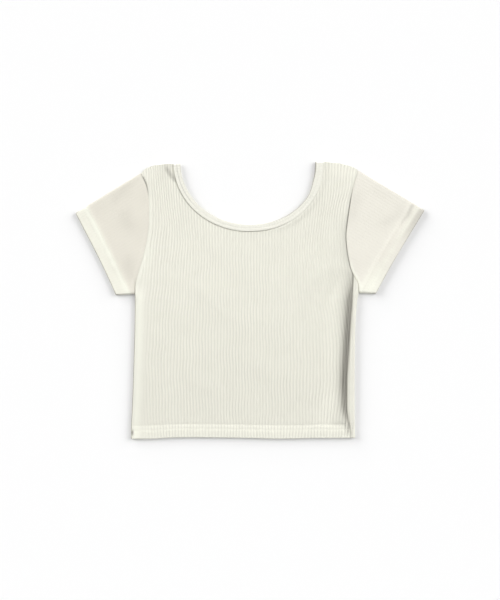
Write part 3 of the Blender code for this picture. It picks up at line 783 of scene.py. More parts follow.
@dataclass
class FrontPanel:
    """The front: ribs from the hem to the neck, a roll on the left and a trough on the right."""

    cut: Cut
    # the mesh
    samples: int = 8
    reach_left: float = 190.0
    reach_right: float = 173.0
    # forms: the roll, the crest and trough, the seams and the hem
    roll_radius: float = 3.0
    roll_settle: float = 22.0
    crest_rise: float = 4.6
    crest_width: float = 34.0
    trough_width: float = 8.2
    trough_wall: float = 5.0
    trough_turn: float = 7.0
    upper_turn: float = 13.0
    turn_past: float = 2.0
    turn_power: float = 2.2
    seam_dip: float = 0.6
    seam_width: float = 1.2
    flush_height: float = 4.95
    flush_reach: float = 9.0
    lowest: float = 2.45
    ridge_height: float = 0.45
    ridge_offset: float = 4.6
    ridge_width: float = 2.6
    bead_height: float = 0.5
    bead_width: float = 2.5
    needle_rows: tuple[float, float] = (21.0, 13.4)
    needle_dip: float = 0.16
    needle_width: float = 1.5
    tunnel: float = 0.15
    tunnel_width: float = 2.6
    # heights of the rows of samples: above the lower edge, up the body, and shares of the top
    fold_rows: tuple[float, ...] = (0.0, 0.1, 0.4, 0.9, 1.6, 2.8, 4.4, 6.2, 8.0, 9.8)
    hem_rows: tuple[float, float, float] = (11.4, 26.0, 1.05)
    body_rows: tuple[tuple[float, float, float], ...] = (
        (-189.0, -12.0, 5.0),
        (-11.0, 66.0, 3.2),
        (69.0, 92.0, 5.0),
    )
    top_rows: int = 29
    top_crowding: float = 1.15
    # where forms and painted tones fade, up the garment or across it
    roll_end: Slope = Slope(2.5, 26.5)
    beside_arm: Slope = Slope(0.0, 30.0)
    up_side: Slope = Slope(-50.0, 20.0)
    upper_body: Slope = Slope(110.0, 165.0)
    hem_edge: Slope = Slope(0.6, 2.4)
    off_roll: Slope = Slope(4.0, 24.0)
    trough_end: Slope = Slope(-205.0, -160.0)
    gathers: tuple[Slope, Slope] = (Slope(-216.0, -203.0), Slope(-192.0, -184.0))
    quickest_gape: float = 2.2
    # how dark the painted shade is, from 0 to 1
    trough_dark: float = 0.66
    trough_light: float = 0.62
    approach_dark: float = 0.62
    approach_reach: float = 4.8
    neck_dark: float = 0.3
    hole_dark: float = 0.85
    beside_dark: float = 0.28
    corner_dark: float = 0.88
    roll_dark: tuple[float, float] = (0.8, 0.05)
    furrow_dark: float = 0.18
    rib_mean: float = 0.43
    lower_shade: float = 0.08
    shoulder_shade: float = 0.11
    fold_dark: float = 0.4
    fold_least: float = 0.5
    deepest: float = 0.9
    # how much paler parts of it are painted, from 0 to 1: the hem for its double cloth and a painted
    # highlight, the rest painted highlights
    hem_pale: float = 0.1
    edge_highlight: float = 0.7
    roll_highlight: float = 0.9
    right_bead_highlight: float = 0.7
    left_glow: float = 0.75
    glow_at: float = 62.0
    glow_reach: float = 36.0
    shoulder_highlight: float = 0.4
    flat_size: tuple[float, float] = (0.356, 0.458)
    creases: tuple[Crease, ...] = (
        Crease((-122.0, 47.0), (-54.0, 4.0), 9.0, 0.55),
        Crease((-78.0, 16.0), (4.0, -47.0), 8.0, 0.5),
        Crease((-150.0, -20.0), (-70.0, -70.0), 14.0, -0.45),
        Crease((-140.0, 70.0), (-96.0, 26.0), 8.0, -0.4),
        Crease((-134.5, 214.0), (-109.5, 181.0), 4.6, -1.35),
        Crease((138.0, 60.0), (82.0, 10.0), 10.0, 0.5),
        Crease((148.0, 40.0), (118.0, -20.0), 7.0, -0.5),
        Crease((60.0, 96.0), (30.0, 30.0), 15.0, -0.35),
        Crease((-20.0, -90.0), (90.0, -120.0), 16.0, 0.45),
        Crease((-110.0, -110.0), (-30.0, -150.0), 12.0, 0.4),
        Crease((60.0, -150.0), (128.0, -178.0), 9.0, -0.4),
        Crease((-170.0, -120.0), (-150.0, -190.0), 7.0, -0.35),
        Crease((128.0, 190.0), (140.0, 120.0), 8.0, 0.35),
        Crease((-140.0, 190.0), (-136.0, 120.0), 9.0, -0.3),
    )

    def rows(self, top: Array) -> Array:
        """The heights of a panel's samples: fixed up to under the neck, then shares of what is left.

        Args:
            top: the y at which each column ends.

        Returns:
            y in rows and columns.
        """
        hem = self.cut.bottom + np.array([*self.fold_rows, *np.arange(*self.hem_rows)])
        low = np.concatenate([hem, *(np.arange(*band) for band in self.body_rows)])[:, None]
        shares = 1.0 - (1.0 - np.linspace(0.0, 1.0, self.top_rows)[1:, None]) ** self.top_crowding
        return np.concatenate([np.tile(low, len(top)), low[-1] + shares * (top - low[-1])])

    def roll_share(self, y: Array) -> Array:
        """1 below the arm, where the left edge is a roll, and 0 from a little above it."""
        return self.roll_end.fall(y)

    def hem_relief(self, y: Array) -> Array:
        """The rows of the coverstitch pull the hem in, and the cloth between them stands up."""
        up = y - self.cut.bottom
        high, low = self.needle_rows
        dips = bump(high, self.needle_width, up) + bump(low, self.needle_width, up)
        return self.tunnel * bump((high + low) / 2, self.tunnel_width, up) - self.needle_dip * dips

    def height(self, x: Array, y: Array) -> Array:
        """Height of the outside between its ribs.

        Args:
            x: across the garment.
            y: up the garment.

        Returns:
            z for each point, right of the roll's turn.
        """
        cut = self.cut
        below = ramp(0.0, cut.shoulder_slope, cut.shoulder(x) - y)
        flat = cut.shoulder_top + (cut.front_top - cut.shoulder_top) * below
        flat = flat + (cut.hem_top - cut.front_top) * cut.hem_share(y)
        from_roll = fade(0.0, self.roll_settle, x - cut.side("left", y) - self.roll_radius)
        level = flat + (2 * self.roll_radius - flat) * from_roll * self.roll_share(y)
        level = level + self.hem_relief(y)
        level = level + sum(c.rise(x, y) for c in self.creases)
        brink = self.brink(y)
        rise = ramp(brink - self.crest_width, brink - self.trough_wall, x)
        crest = level + self.crest_rise * cut.side("gape", y) * rise
        floor = flat + (cut.trough_floor - flat) * cut.gaping(y, cut.floor_gape)
        level = crest + (floor - crest) * self.fall(x, y) * cut.gaping(y, cut.wall_gape)
        neck = cut.front_neck.distance(x, y)
        drawn = cut.flush_side.fall(x)
        dip = self.seam_dip * (1.0 - 0.9 * cut.neck_top.rise(y))
        level = level - dip * fade(0.0, self.seam_width, neck) * drawn
        level = level + (self.flush_height - level) * fade(0.0, self.flush_reach, neck) * (1.0 - drawn)
        for hand in Hand:
            near, mark = cut.armhole_distance(hand, x, y), cut.seam_mark(hand, y)
            level = level - self.seam_dip * mark * fade(0.0, self.seam_width, near)
            level = level + self.ridge_height * bump(self.ridge_offset, self.ridge_width, near)
            bead = self.bead_height * (1.0 - mark) * bump(0.0, self.bead_width, near)
            level = level + bead * (hand is Hand.RIGHT)
        return np.maximum(level, self.lowest)

    def brink(self, y: Array) -> Array:
        """The x at which the trough beside the side seam begins."""
        return self.cut.side("seam", y) - self.trough_width * self.cut.side("gape", y)

    def fall(self, x: Array, y: Array) -> Array:
        """How far the cloth has turned down into the trough, from 0 on its crest to 1 inside."""
        brink = self.brink(y)
        start = brink - self.trough_turn - self.upper_turn * self.up_side.rise(y)
        return np.clip((x - start) / (brink + self.turn_past - start), 0.0, 1.0) ** self.turn_power

    def shade(self, x: Array, y: Array) -> Array:
        """How much painted shade a point has, and how pale it is painted for double cloth and highlights, 0
        to 1.
        """
        # painted shade in the creases' troughs
        folds = sum(np.clip(-crease.rise(x, y) - self.fold_least, 0.0, 1.0) for crease in self.creases)
        dark = [*self.trough_shade(x, y), *self.seam_shade(x, y), *self.roll_shade(x, y)]
        painted_shade = np.maximum.reduce(dark) + self.furrow_shade(x, y) + self.fold_dark * folds
        return np.stack([np.clip(painted_shade, 0.0, self.deepest), self.paleness(x, y)], axis=-1)

    def trough_shade(self, x: Array, y: Array) -> list[Array]:
        """The painted shade of the trough, of the cloth that turns into it and of the gathers under it."""
        cut, seam, brink = self.cut, self.cut.side("seam", y), self.brink(y)
        gaping, beside_arm = cut.gaping(y, self.quickest_gape), self.beside_arm.rise(y)
        shallow = 0.55 + 0.45 * self.trough_end.rise(y)
        reach = self.approach_reach + 2.5 * ramp(-60.0, 0.0, y) + 5.0 * beside_arm
        approach = (self.approach_dark - 0.2 * beside_arm) * np.exp(-np.maximum(brink - x, 0.0) / reach)
        approach = approach * np.maximum(gaping, ramp(66.0, 38.0, y) * (y > 0.0)) * shallow
        deep_shade = self.trough_dark - self.trough_light * np.clip((x - brink - 1.5) / 6.7, 0.0, 1.0)
        trough = ramp(brink - 0.5, brink + 1.0, x) * deep_shade * gaping * shallow
        low, high = self.gathers
        gathered = low.rise(y) * high.fall(y) * ramp(seam - 11.0, seam - 3.5, x)
        return [approach, trough, gathered * (0.6 - 0.42 * cut.rib(cut.rib_line(x, y)))]

    def seam_shade(self, x: Array, y: Array) -> list[Array]:
        """The painted shade of the drawn-in seams at the neck and armholes, and beside the right sleeve."""
        cut = self.cut
        neck = self.neck_dark * fade(-0.2, 1.1, cut.front_neck.distance(x, y)) * cut.flush_side.fall(x)
        neck = neck * (1.0 - 0.9 * cut.middle.rise(x)) * (1.0 - 0.8 * cut.neck_top.rise(y))
        near = {hand: cut.armhole_distance(hand, x, y) for hand in Hand}
        holes = [self.hole_dark * cut.seam_mark(hand, y) * fade(0.3, 2.1, near[hand]) for hand in Hand]
        beside = self.beside_dark * np.exp(-np.maximum(near[Hand.RIGHT], 0.0) / 7.0) * fade(90.0, 160.0, y)
        return [neck, *holes, beside]

    def roll_shade(self, x: Array, y: Array) -> list[Array]:
        """The painted shade of the roll on the left: its underside, and the fold at the hem's corner."""
        from_left, share = x - self.cut.side("left", y), self.roll_share(y)
        corner = self.corner_dark * bump(10.0, 4.5, y - self.cut.bottom) * fade(2.2, 5.5, from_left)
        under, over = self.roll_dark
        return [corner, under * fade(0.3, 2.3, from_left) * share, over * fade(4.0, 9.0, from_left) * share]

    def furrow_shade(self, x: Array, y: Array) -> Array:
        """The painted shade between the ribs, and painted shade over whole parts of the front: darker
        towards the bottom and at the left shoulder.
        """
        cut, hem = self.cut, self.cut.hem_share(y)
        off_roll = self.off_roll.rise(x - cut.side("left", y))
        even = off_roll + (1.0 - off_roll) * (1.0 - self.roll_share(y))
        strength = self.ribbing(x, y) * self.rib_strength(x, y)
        furrow = (1.0 - cut.rib(cut.rib_line(x, y)) - self.rib_mean) * strength + self.rib_mean * even
        furrow = (self.furrow_dark + 0.04 * hem) * furrow * (1.0 - self.edge_share(y))
        low_right = ramp(95.0, 130.0, x) * ramp(-120.0, -165.0, y)
        lower = self.lower_shade * ramp(110.0, -190.0, y) * (1.0 - hem) * (1.0 - low_right)
        left_shoulder = self.shoulder_shade * ramp(178.0, 208.0, y) * bump(-130.0, 17.0, x)
        return furrow + lower + left_shoulder

    def paleness(self, x: Array, y: Array) -> Array:
        """How much paler the cloth is painted: in the hem for its double cloth and a painted highlight, and
        painted highlights at the hem's edge, over the roll, on the seams' beads, at the left and along the
        shoulders.
        """
        cut, from_left = self.cut, x - self.cut.side("left", y)
        pale = [self.hem_pale * cut.hem_share(y), self.edge_highlight * self.edge_share(y)]
        outer = 0.45 + 0.55 * ramp(1.5, 6.5, from_left)
        pale.append(self.roll_highlight * fade(6.0, 19.0, from_left) * outer * self.roll_share(y))
        left, right = (cut.armhole_distance(hand, x, y) for hand in Hand)
        left_open, right_open = (1.0 - cut.seam_mark(hand, y) for hand in Hand)
        pale.append(self.right_bead_highlight * right_open * bump(0.0, 2.6, right))
        # painted highlight on the left armhole's bead
        bead = 0.3 + 0.5 * ramp(100.0, 130.0, y) * fade(160.0, 172.0, y)
        pale.append(bead * left_open * bump(2.2, 1.9, left) * ramp(0.0, 20.0, y))
        # painted highlight beside the left armhole
        pale.append(self.left_glow * bump(self.glow_at, self.glow_reach, y) * fade(8.0, 20.0, left))
        pale.append(self.shoulder_highlight * fade(0.5, 3.0, cut.shoulder(x) - y))
        return np.maximum.reduce(pale)

    def edge_share(self, y: Array) -> Array:
        """1 at the very edge of the hem, and 0 from a little above it."""
        return self.hem_edge.fall(y - self.cut.bottom)

    def rib_strength(self, x: Array, y: Array) -> Array:
        """How strong the painted shade in the furrows is: most near the hem, least at the upper right and
        beside the roll.
        """
        upper_right = ramp(5.0, 85.0, x) * ramp(-150.0, 5.0, y) * self.upper_body.fall(y)
        left = fade(-175.0, -125.0, x) * self.upper_body.fall(y)
        uneven = np.sin(x / 17.0 + y / 29.0) * np.sin(y / 21.0 - x / 37.0)
        return (1.0 - 0.6 * upper_right) * (1.0 - 0.5 * left) * (1.0 + 0.2 * uneven)

    def ribbing(self, x: Array, y: Array) -> Array:
        """How much the ribs stand up: less over the roll, in the seams and the hem's needle rows."""
        from_left = ramp(8.0, 34.0, x - self.cut.side("left", y))
        from_left = from_left + (1.0 - from_left) * ramp(10.0, 60.0, y)
        holes = [ramp(0.5, 7.0, self.cut.armhole_distance(hand, x, y)) for hand in Hand]
        rows = sum(bump(row, 1.2, y - self.cut.bottom) for row in self.needle_rows)
        hem = 1.0 - 0.5 * rows
        neck = 0.3 + 0.7 * ramp(0.0, 3.0, self.cut.front_neck.distance(x, y))
        return from_left * holes[0] * (0.35 + 0.65 * holes[1]) * hem * neck

    def lie(self, c: Array, y: Array) -> tuple[Array, Array, Array, Array]:
        """Lays the front out, its ribs pulled sideways and its left edge rolled.

        Args:
            c: each sample's place across the ribbing.
            y: its height up the garment.

        Returns:
            x and z of each sample, and how far left and right it may lie.
        """
        cut, share = self.cut, self.roll_share(y)
        x = c + cut.lean(c, y)
        left = np.maximum(cut.side("left", y), cut.limit(Hand.LEFT, y))
        right = np.minimum(cut.side("seam", y) - cut.seam / 2, cut.limit(Hand.RIGHT, y))
        turn_end = cut.side("left", y) + self.roll_radius
        angle = np.clip(math.pi / 2 + (x - turn_end) / self.roll_radius, 0.0, math.pi / 2)
        rolled = turn_end - self.roll_radius + self.roll_radius * (1 - np.cos(angle))
        in_turn = (x < turn_end) & (share > 0)
        x = np.clip(np.where(in_turn, rolled, x), left, right)
        drop = np.where(in_turn, self.roll_radius * (1 - np.sin(angle)) * share, 0.0)
        z = self.height(np.maximum(x, np.where(share > 0, turn_end, left)), y) - drop
        return x, z, left, right

    def build(self) -> bpy.types.Object:
        """Makes the front's shell.

        Returns:
            The new object.
        """
        cut, pitch = self.cut, self.cut.rib_pitch / self.samples
        first, last = -math.ceil(self.reach_left / pitch), math.ceil(self.reach_right / pitch)
        last += -(last - first) % self.samples
        c = np.arange(first, last + 1) * pitch
        y = self.rows(cut.top_edge(cut.front_neck, c))
        x, z, left, right = self.lie(np.tile(c, (len(y), 1)), y)
        base = np.stack([x, y, z], axis=2)
        facing = normals_of(base)
        rib = cut.rib(cut.rib_line(x, y)) * cut.rib_height * self.ribbing(x, y)
        outside = base + facing * (rib - hem_fold(y, cut))[..., None]
        inside = base - facing * (cut.wall_share * cut.wall * cut.layers(y))[..., None]
        inside[..., 0] = np.clip(inside[..., 0], left, right)
        for grid in (outside, inside):
            grid[..., 1] += cut.hem_wave(x, y)
        inside = inside[:, :: self.samples]
        uv = np.stack([cut.rib_line(x, y), y], axis=2)
        return Shell("front_knit", outside, inside, self.samples, uv, self.shade(x, y)).build()


def hem_fold(y: Array, cut: Cut, radius: float = 1.3, share: float = 0.85) -> Array:
    """How far the outside curves in at the fold of the hem.

    Args:
        y: up the garment.
        cut: the garment's cut.
        radius: rounding of the fold.
        share: how much of a full rounding it is.

    Returns:
        The distance that the outside is drawn in.
    """
    depth = np.clip(1.0 - (y - cut.bottom) / radius, 0.0, 1.0)
    return radius * (1.0 - np.sqrt(1.0 - depth * depth)) * share


@dataclass
class BackPanel:
    """The back: flat underneath, half rolled on the left, and wrapped over the right-hand edge."""

    cut: Cut
    front: FrontPanel
    roll_radius: float = 2.65
    strip_radius: float = 2.6
    strip_swell: float = 0.6
    strip_wall: float = 3.6
    # the mesh: columns of the half roll, the flat part, the turn and the strip
    turn_columns: int = 7
    flat_left: float = -183.0
    flat_right: float = 163.0
    under_step: float = 2.35
    edge_columns: int = 19
    strip_columns: int = 25
    rib_share: float = 0.35
    left_top: float = 212.0
    right_top: float = 214.6
    under_pale: float = 0.45
    # how dark the painted shade on its parts is, from 0 to 1
    turn_dark: float = 0.6
    edge_dark: float = 0.5
    strip_dark: float = 0.26
    line_dark: float = 0.3
    hole_dark: float = 0.5
    gather_pitch: float = 3.1
    # how the sleeve that lies on the edge eases it down, then presses it flat
    eased: Slope = Slope(5.0, 40.0)
    eased_by: float = 0.2
    pressed: Slope = Slope(42.0, 50.0)
    pressed_by: float = 0.7
    gathers: tuple[Slope, Slope] = (Slope(-218.0, -208.0), Slope(-196.0, -186.0))
    flat_size: tuple[float, float] = (0.375, 0.458)

    def radius(self, y: Array) -> Array:
        """Outer radius of the turn round the right-hand edge."""
        single = self.strip_radius + self.strip_swell * self.cut.side("gape", y)
        return single + (self.cut.hem_top / 2 + 0.1 - single) * self.cut.hem_share(y)

    def strip_height(self, x: Array, y: Array) -> Array:
        """Height of the strip on top, right of the side seam."""
        cut = self.cut
        floor = cut.front_top + (cut.hem_top - cut.front_top) * cut.hem_share(y)
        floor = floor + (cut.trough_floor - floor) * cut.gaping(y, cut.floor_gape)
        seam = cut.side("seam", y)
        top = 2 * self.radius(y) + self.front.hem_relief(y) * ramp(0.0, 3.0, x - seam)
        return floor + (top - floor) * ramp(0.0, self.strip_wall, x - seam - cut.seam)

    def half_roll(self, y: Array, turn: Array) -> Array:
        """The lower half of the roll on the left, as x, z and place on the cloth.

        Args:
            y: up the garment, in rows and columns.
            turn: each column's angle round the roll.

        Returns:
            Three grids, like those of the three parts that follow it.
        """
        left = self.cut.side("left", y)
        x = left + self.roll_radius * (1 - np.cos(turn))
        z = self.front.roll_share(y) * self.roll_radius * (1 - np.sin(turn))
        return np.stack([x, z, left + self.roll_radius * (turn - math.pi / 2 + 1)])

    def underside(self, y: Array, flat_x: Array) -> Array:
        """The flat part, from the roll to the turn round the right-hand edge."""
        spread = (flat_x - flat_x[0]) / (flat_x[-1] - flat_x[0])
        start = self.cut.side("left", y) + self.roll_radius
        finish = self.cut.side("right", y) - self.radius(y) - 0.6
        nominal = np.clip(flat_x, start, finish)
        x = np.where(spread < 0.02, start, np.where(spread > 0.999, finish, nominal))
        return np.stack([x, np.zeros_like(x), x])

    def edge_turn(self, y: Array, angle: Array) -> Array:
        """The turn round the right-hand edge."""
        right, radius = self.cut.side("right", y), self.radius(y)
        x = right - radius * (1 - np.sin(angle))
        z = radius * (1 - np.cos(angle)) * self.under_sleeve(y)
        return np.stack([x, z, right + radius * (angle - 1.0)])

    def strip(self, y: Array, share: Array) -> Array:
        """The strip on top, from the turn to the side seam."""
        right, radius = self.cut.side("right", y), self.radius(y)
        edge = right - radius
        x = edge + (self.cut.side("seam", y) + self.cut.seam / 2 - edge) * share
        z = self.strip_height(x, y) * self.under_sleeve(y)
        return np.stack([x, z, right + radius * (math.pi - 1.0) + edge - x])

    def under_sleeve(self, y: Array) -> Array:
        """How much of its height the right-hand edge keeps where the sleeve lies on it."""
        return 1.0 - self.eased_by * self.eased.rise(y) - self.pressed_by * self.pressed.rise(y)

    def build(self) -> bpy.types.Object:
        """Makes the back's shell.

        Returns:
            The new object.
        """
        cut = self.cut
        turn = np.linspace(0.0, math.pi / 2, self.turn_columns)[:-1]
        flat_x = np.arange(self.flat_left, self.flat_right, self.under_step)
        angle = np.linspace(0.0, math.pi, self.edge_columns)
        share = np.linspace(0.0, 1.0, self.strip_columns)[1:]
        tops = [np.full(len(turn), self.left_top), cut.top_edge(cut.back_neck, flat_x)]
        y = self.front.rows(np.concatenate([*tops, np.full(len(angle) + len(share), self.right_top)]))
        ends = np.cumsum([0, len(turn), len(flat_x), len(angle), len(share)])
        roll, under, over, last = (slice(a, b) for a, b in zip(ends, ends[1:]))
        parts = [self.half_roll(y[:, roll], turn), self.underside(y[:, under], flat_x)]
        parts += [self.edge_turn(y[:, over], angle), self.strip(y[:, last], share)]
        x, z, u = np.concatenate(parts, axis=2)
        base = np.stack([x, y, z], axis=2)
        facing = -normals_of(base)
        past = x - cut.side("seam", y) - cut.seam / 2
        ribs = cut.rib(u) * self.rib_share * cut.rib_height * np.where(z > 3.0, ramp(0.0, 2.5, past), 0.0)
        outside = base + facing * (ribs - hem_fold(y, cut) * ramp(0.5, 3.0, z))[..., None]
        inside = base - facing * (cut.wall_share * cut.wall * cut.layers(y))[..., None]
        limits = (cut.limit(Hand.LEFT, y), cut.limit(Hand.RIGHT, y))
        for grid, lowest in ((outside, 0.0), (inside, 0.05)):
            grid[..., 2] = np.maximum(grid[..., 2], lowest)
            grid[..., 0] = np.clip(grid[..., 0], *limits)
            grid[..., 1] += cut.hem_wave(x, y)
        shade = np.zeros((*x.shape, 2))
        shade[..., 1] = self.under_pale * cut.hem_share(y)
        # painted shade on the roll's turned underside and on the turn round the right-hand edge
        shade[:, roll, 0] = self.turn_dark
        shade[:, over, 0] = self.edge_dark * fade(1.5, 3.5, z[:, over])
        shade[:, last] = self.shade(x[:, last], y[:, last])
        grids = [grid[:, ::-1] for grid in (outside, inside, np.stack([u, y], axis=2), shade)]
        return Shell("back_knit", grids[0], grids[1], 1, grids[2], grids[3], crease_angle=60.0).build()

    def shade(self, x: Array, y: Array) -> Array:
        """How much painted shade a point of the strip has, and how pale its hem is painted for its double
        cloth and a painted highlight.
        """
        cut, past = self.cut, x - self.cut.side("seam", y)
        deep_shade = self.strip_dark * fade(0.0, 5.0, past) * cut.gaping(y, self.front.quickest_gape)
        line = self.line_dark * fade(0.0, 1.2, past)
        low, high = self.gathers
        drawn = low.rise(y) * high.fall(y) * fade(2.5, 5.5, past)
        drawn = drawn * (0.22 - 0.2 * np.cos(2 * math.pi * past / self.gather_pitch))
        near = cut.armhole_distance(Hand.RIGHT, x, y)
        hole = self.hole_dark * cut.seam_shadow.fall(near) * cut.seam_mark(Hand.RIGHT, y)
        ribs = 0.05 + (0.08 + 0.14 * fade(0.0, 6.0, past)) * (1.0 - cut.rib(x))
        dark = np.maximum.reduce([deep_shade, line, hole, drawn]) + ribs
        return np.stack([dark, 0.2 * cut.hem_share(y)], axis=-1)


# ---------------------------------------------------------------- sleeves


@dataclass(frozen=True)
class SleeveCut:
    """A sleeve's corners and the armhole that it is sewn into."""

    hand: Hand
    tip: tuple[float, float]
    fold_end: tuple[float, float]
    hem_low: tuple[float, float]
    under: tuple[float, float]
    armhole: tuple[Point, ...]
    hollow: float


@dataclass
class Sleeve:
    """A flattened tube: folded along the arm, ribs running down to a turned hem."""

    cut: Cut
    pattern: SleeveCut
    name: str
    top: float = 3.9
    fold_radius: float = 2.3
    tip_radius: float = 1.5
    hem_radius: float = 2.8
    settle: float = 26.0
    samples: int = 6
    rib_height: float = 0.06
    rib_starts: Slope = Slope(0.0, 6.0)
    # forms of the upper layer, by distance from its hem, from the armhole or from its edges
    needle_rows: tuple[float, float] = (20.4, 13.4)
    needle_dip: float = 0.15
    needle_width: float = 1.5
    ridge_at: float = 18.5
    ridge_height: float = 0.25
    ridge_width: float = 3.4
    seam_dip: float = 0.6
    seam_width: float = 1.2
    bead_at: float = 4.0
    bead_height: float = 0.25
    bead_width: float = 2.5
    forms_start: Slope = Slope(0.6, 4.0)
    creases_start: Slope = Slope(3.0, 12.0)
    kept_share: float = 0.6
    edge_rounding: float = 1.4
    edge_drop: float = 1.2
    # how pale or dark its parts are painted, from 0 to 1: the hem's double cloth, painted highlights and
    # painted shade
    paleness: float = 0.72
    ridge_highlight: float = 0.5
    low_highlight: float = 0.0
    tip_shade: float = 0.0
    edge_shade: float = 0.7
    edge_width: float = 2.0
    seam_dark: float = 0.5
    crease_dark: float = 0.2
    furrow_dark: float = 0.02
    under_dark: float = 0.14
    hem_under_dark: float = 0.31
    # where the painted tones fade, from the hem or, as shares of its width, down the sleeve
    pale_band: Slope = Slope(18.0, 25.0)
    low_band: Slope = Slope(20.0, 33.0)
    lower_part: Slope = Slope(0.5, 0.97)
    lowest_part: Slope = Slope(0.74, 0.86)
    under_edge: Slope = Slope(2.0, 8.0)
    tip_edge: Slope = Slope(6.5, 10.5)
    tip_part: Slope = Slope(0.12, 0.42)
    crinkled_part: Slope = Slope(0.06, 0.28)
    # the mesh and the cloth
    turn_cells: int = 8
    under_cells: int = 48
    wall_share: float = 0.95
    flat_size: tuple[float, float] = (0.31, 0.155)
    flat_share: float = 0.78
    creases: tuple[Crease, ...] = ()

    def __post_init__(self) -> None:
        """Works out the sleeve's own directions: along the arm and across it."""
        pattern = self.pattern
        self.tip = np.array(pattern.tip)
        end, low = np.array(pattern.fold_end) - self.tip, np.array(pattern.hem_low) - self.tip
        self.along = end / np.linalg.norm(end)
        across = np.array([self.along[1], -self.along[0]])
        self.across = across if across @ (np.array(pattern.under) - self.tip) > 0 else -across
        self.width_hem, self.reach_low = float(low @ self.across), float(low @ self.along)
        self.reach_top = float(end @ self.along)
        line = curve_points(self.pattern.armhole)
        slope = np.gradient(line, axis=0)
        slope /= np.linalg.norm(slope, axis=1)[:, None]
        outward = np.stack([slope[:, 1], -slope[:, 0]], axis=1)
        if outward[len(line) // 2] @ self.along < 0:
            outward = -outward
        line = line + outward * self.cut.sleeve_seam - self.tip
        pairs = np.stack([line @ self.across, line @ self.along], axis=1)
        self.hole = pairs[np.argsort(pairs[:, 0])]
        self.width_arm = float(self.hole[-1, 0])

    def squeeze(self, w: Array) -> Array:
        """Where a line of the sleeve ends at the hem: the outer part closes up."""
        kept = self.kept_share * self.width_arm
        closer = kept + (w - kept) * (self.width_hem - kept) / (self.width_arm - kept)
        return np.where(w > kept, closer, w)

    def finish(self, squeezed: Array) -> Array:
        """How far along the arm a line of the sleeve ends, at a hem that is drawn in slightly."""
        reach = self.reach_top + (self.reach_low - self.reach_top) * squeezed / self.width_hem
        down = np.clip(squeezed / self.width_hem, 0.0, 1.0)
        return reach - self.pattern.hollow * np.sin(math.pi * down**1.3)

    def relief(self, w: Array, reach: Array, to_hem: Array, from_seam: Array, mark: Array) -> Array:
        """The upper layer's soft forms: hem, seams and creases."""
        level = -self.needle_dip * sum(bump(row, self.needle_width, to_hem) for row in self.needle_rows)
        level = level + self.ridge_height * bump(self.ridge_at, self.ridge_width, to_hem)
        level = level - self.seam_dip * mark * fade(0.0, self.seam_width, from_seam)
        level = level + self.bead_height * bump(self.bead_at, self.bead_width, from_seam)
        side = self.creases_start.rise(w) * self.creases_start.rise(self.width_arm - w)
        return level + side * sum(c.rise(reach, w) for c in self.creases)

    def stations(self) -> list[tuple[float, float]]:
        """The sections' places: shares of the way to the hem's band, then of the way across it."""
        body = [0.0, 0.008, 0.016, 0.03, 0.05, *np.linspace(0.08, 1.0, 22)]
        hem = [0.08, 0.16, 0.22, 0.26, 0.30, 0.34, 0.38, 0.44, 0.50, 0.56, 0.62, 0.7, 0.8, 0.9]
        hem += [0.94, 0.965, 0.985, 0.995, 1.0]
        return [(share, 0.0) for share in body] + [(1.0, share) for share in hem]

    def section(self, body_share: float, hem_share: float, cells: int) -> tuple[Array, Array]:
        """The flattened tube's section, before its seams, hem and creases.

        Args:
            body_share: how far the section lies on the way to the hem's band.
            hem_share: how far across the band it lies.
            cells: how many cells the upper layer has.

        Returns:
            Distance from the fold along the arm, and height, all the way round.
        """
        doubled_and_highlight, width = ramp(0.0, 0.28, hem_share), self.width_arm
        radius = self.tip_radius + (self.fold_radius - self.tip_radius) * ramp(0, 0.4, body_share)
        radius = float(radius + (self.hem_radius - radius) * doubled_and_highlight)
        risen = 0.35 * ramp(0.45, 1.0, body_share) + 0.65 * doubled_and_highlight
        top = self.top + (self.cut.hem_top - self.top) * risen
        w = np.linspace(radius, width - radius, cells + 1)
        z = top + (2 * radius - top) * fade(radius, self.settle, np.minimum(w, width - w))
        around = cells + self.under_cells + 2 * self.turn_cells
        shares = np.linspace(0.0, 1.0, self.under_cells + (-around) % self.samples + 1) ** 1.5
        under = radius + (width - 2 * radius) * (1 - shares)
        turn = np.linspace(0.0, math.pi, self.turn_cells + 1)[1:-1]
        across = [w, width - radius * (1 - np.sin(turn)), under, radius * (1 - np.sin(turn))]
        heights = [z, radius * (1 + np.cos(turn)), 0 * under, radius * (1 - np.cos(turn))]
        return np.concatenate(across), np.concatenate(heights)

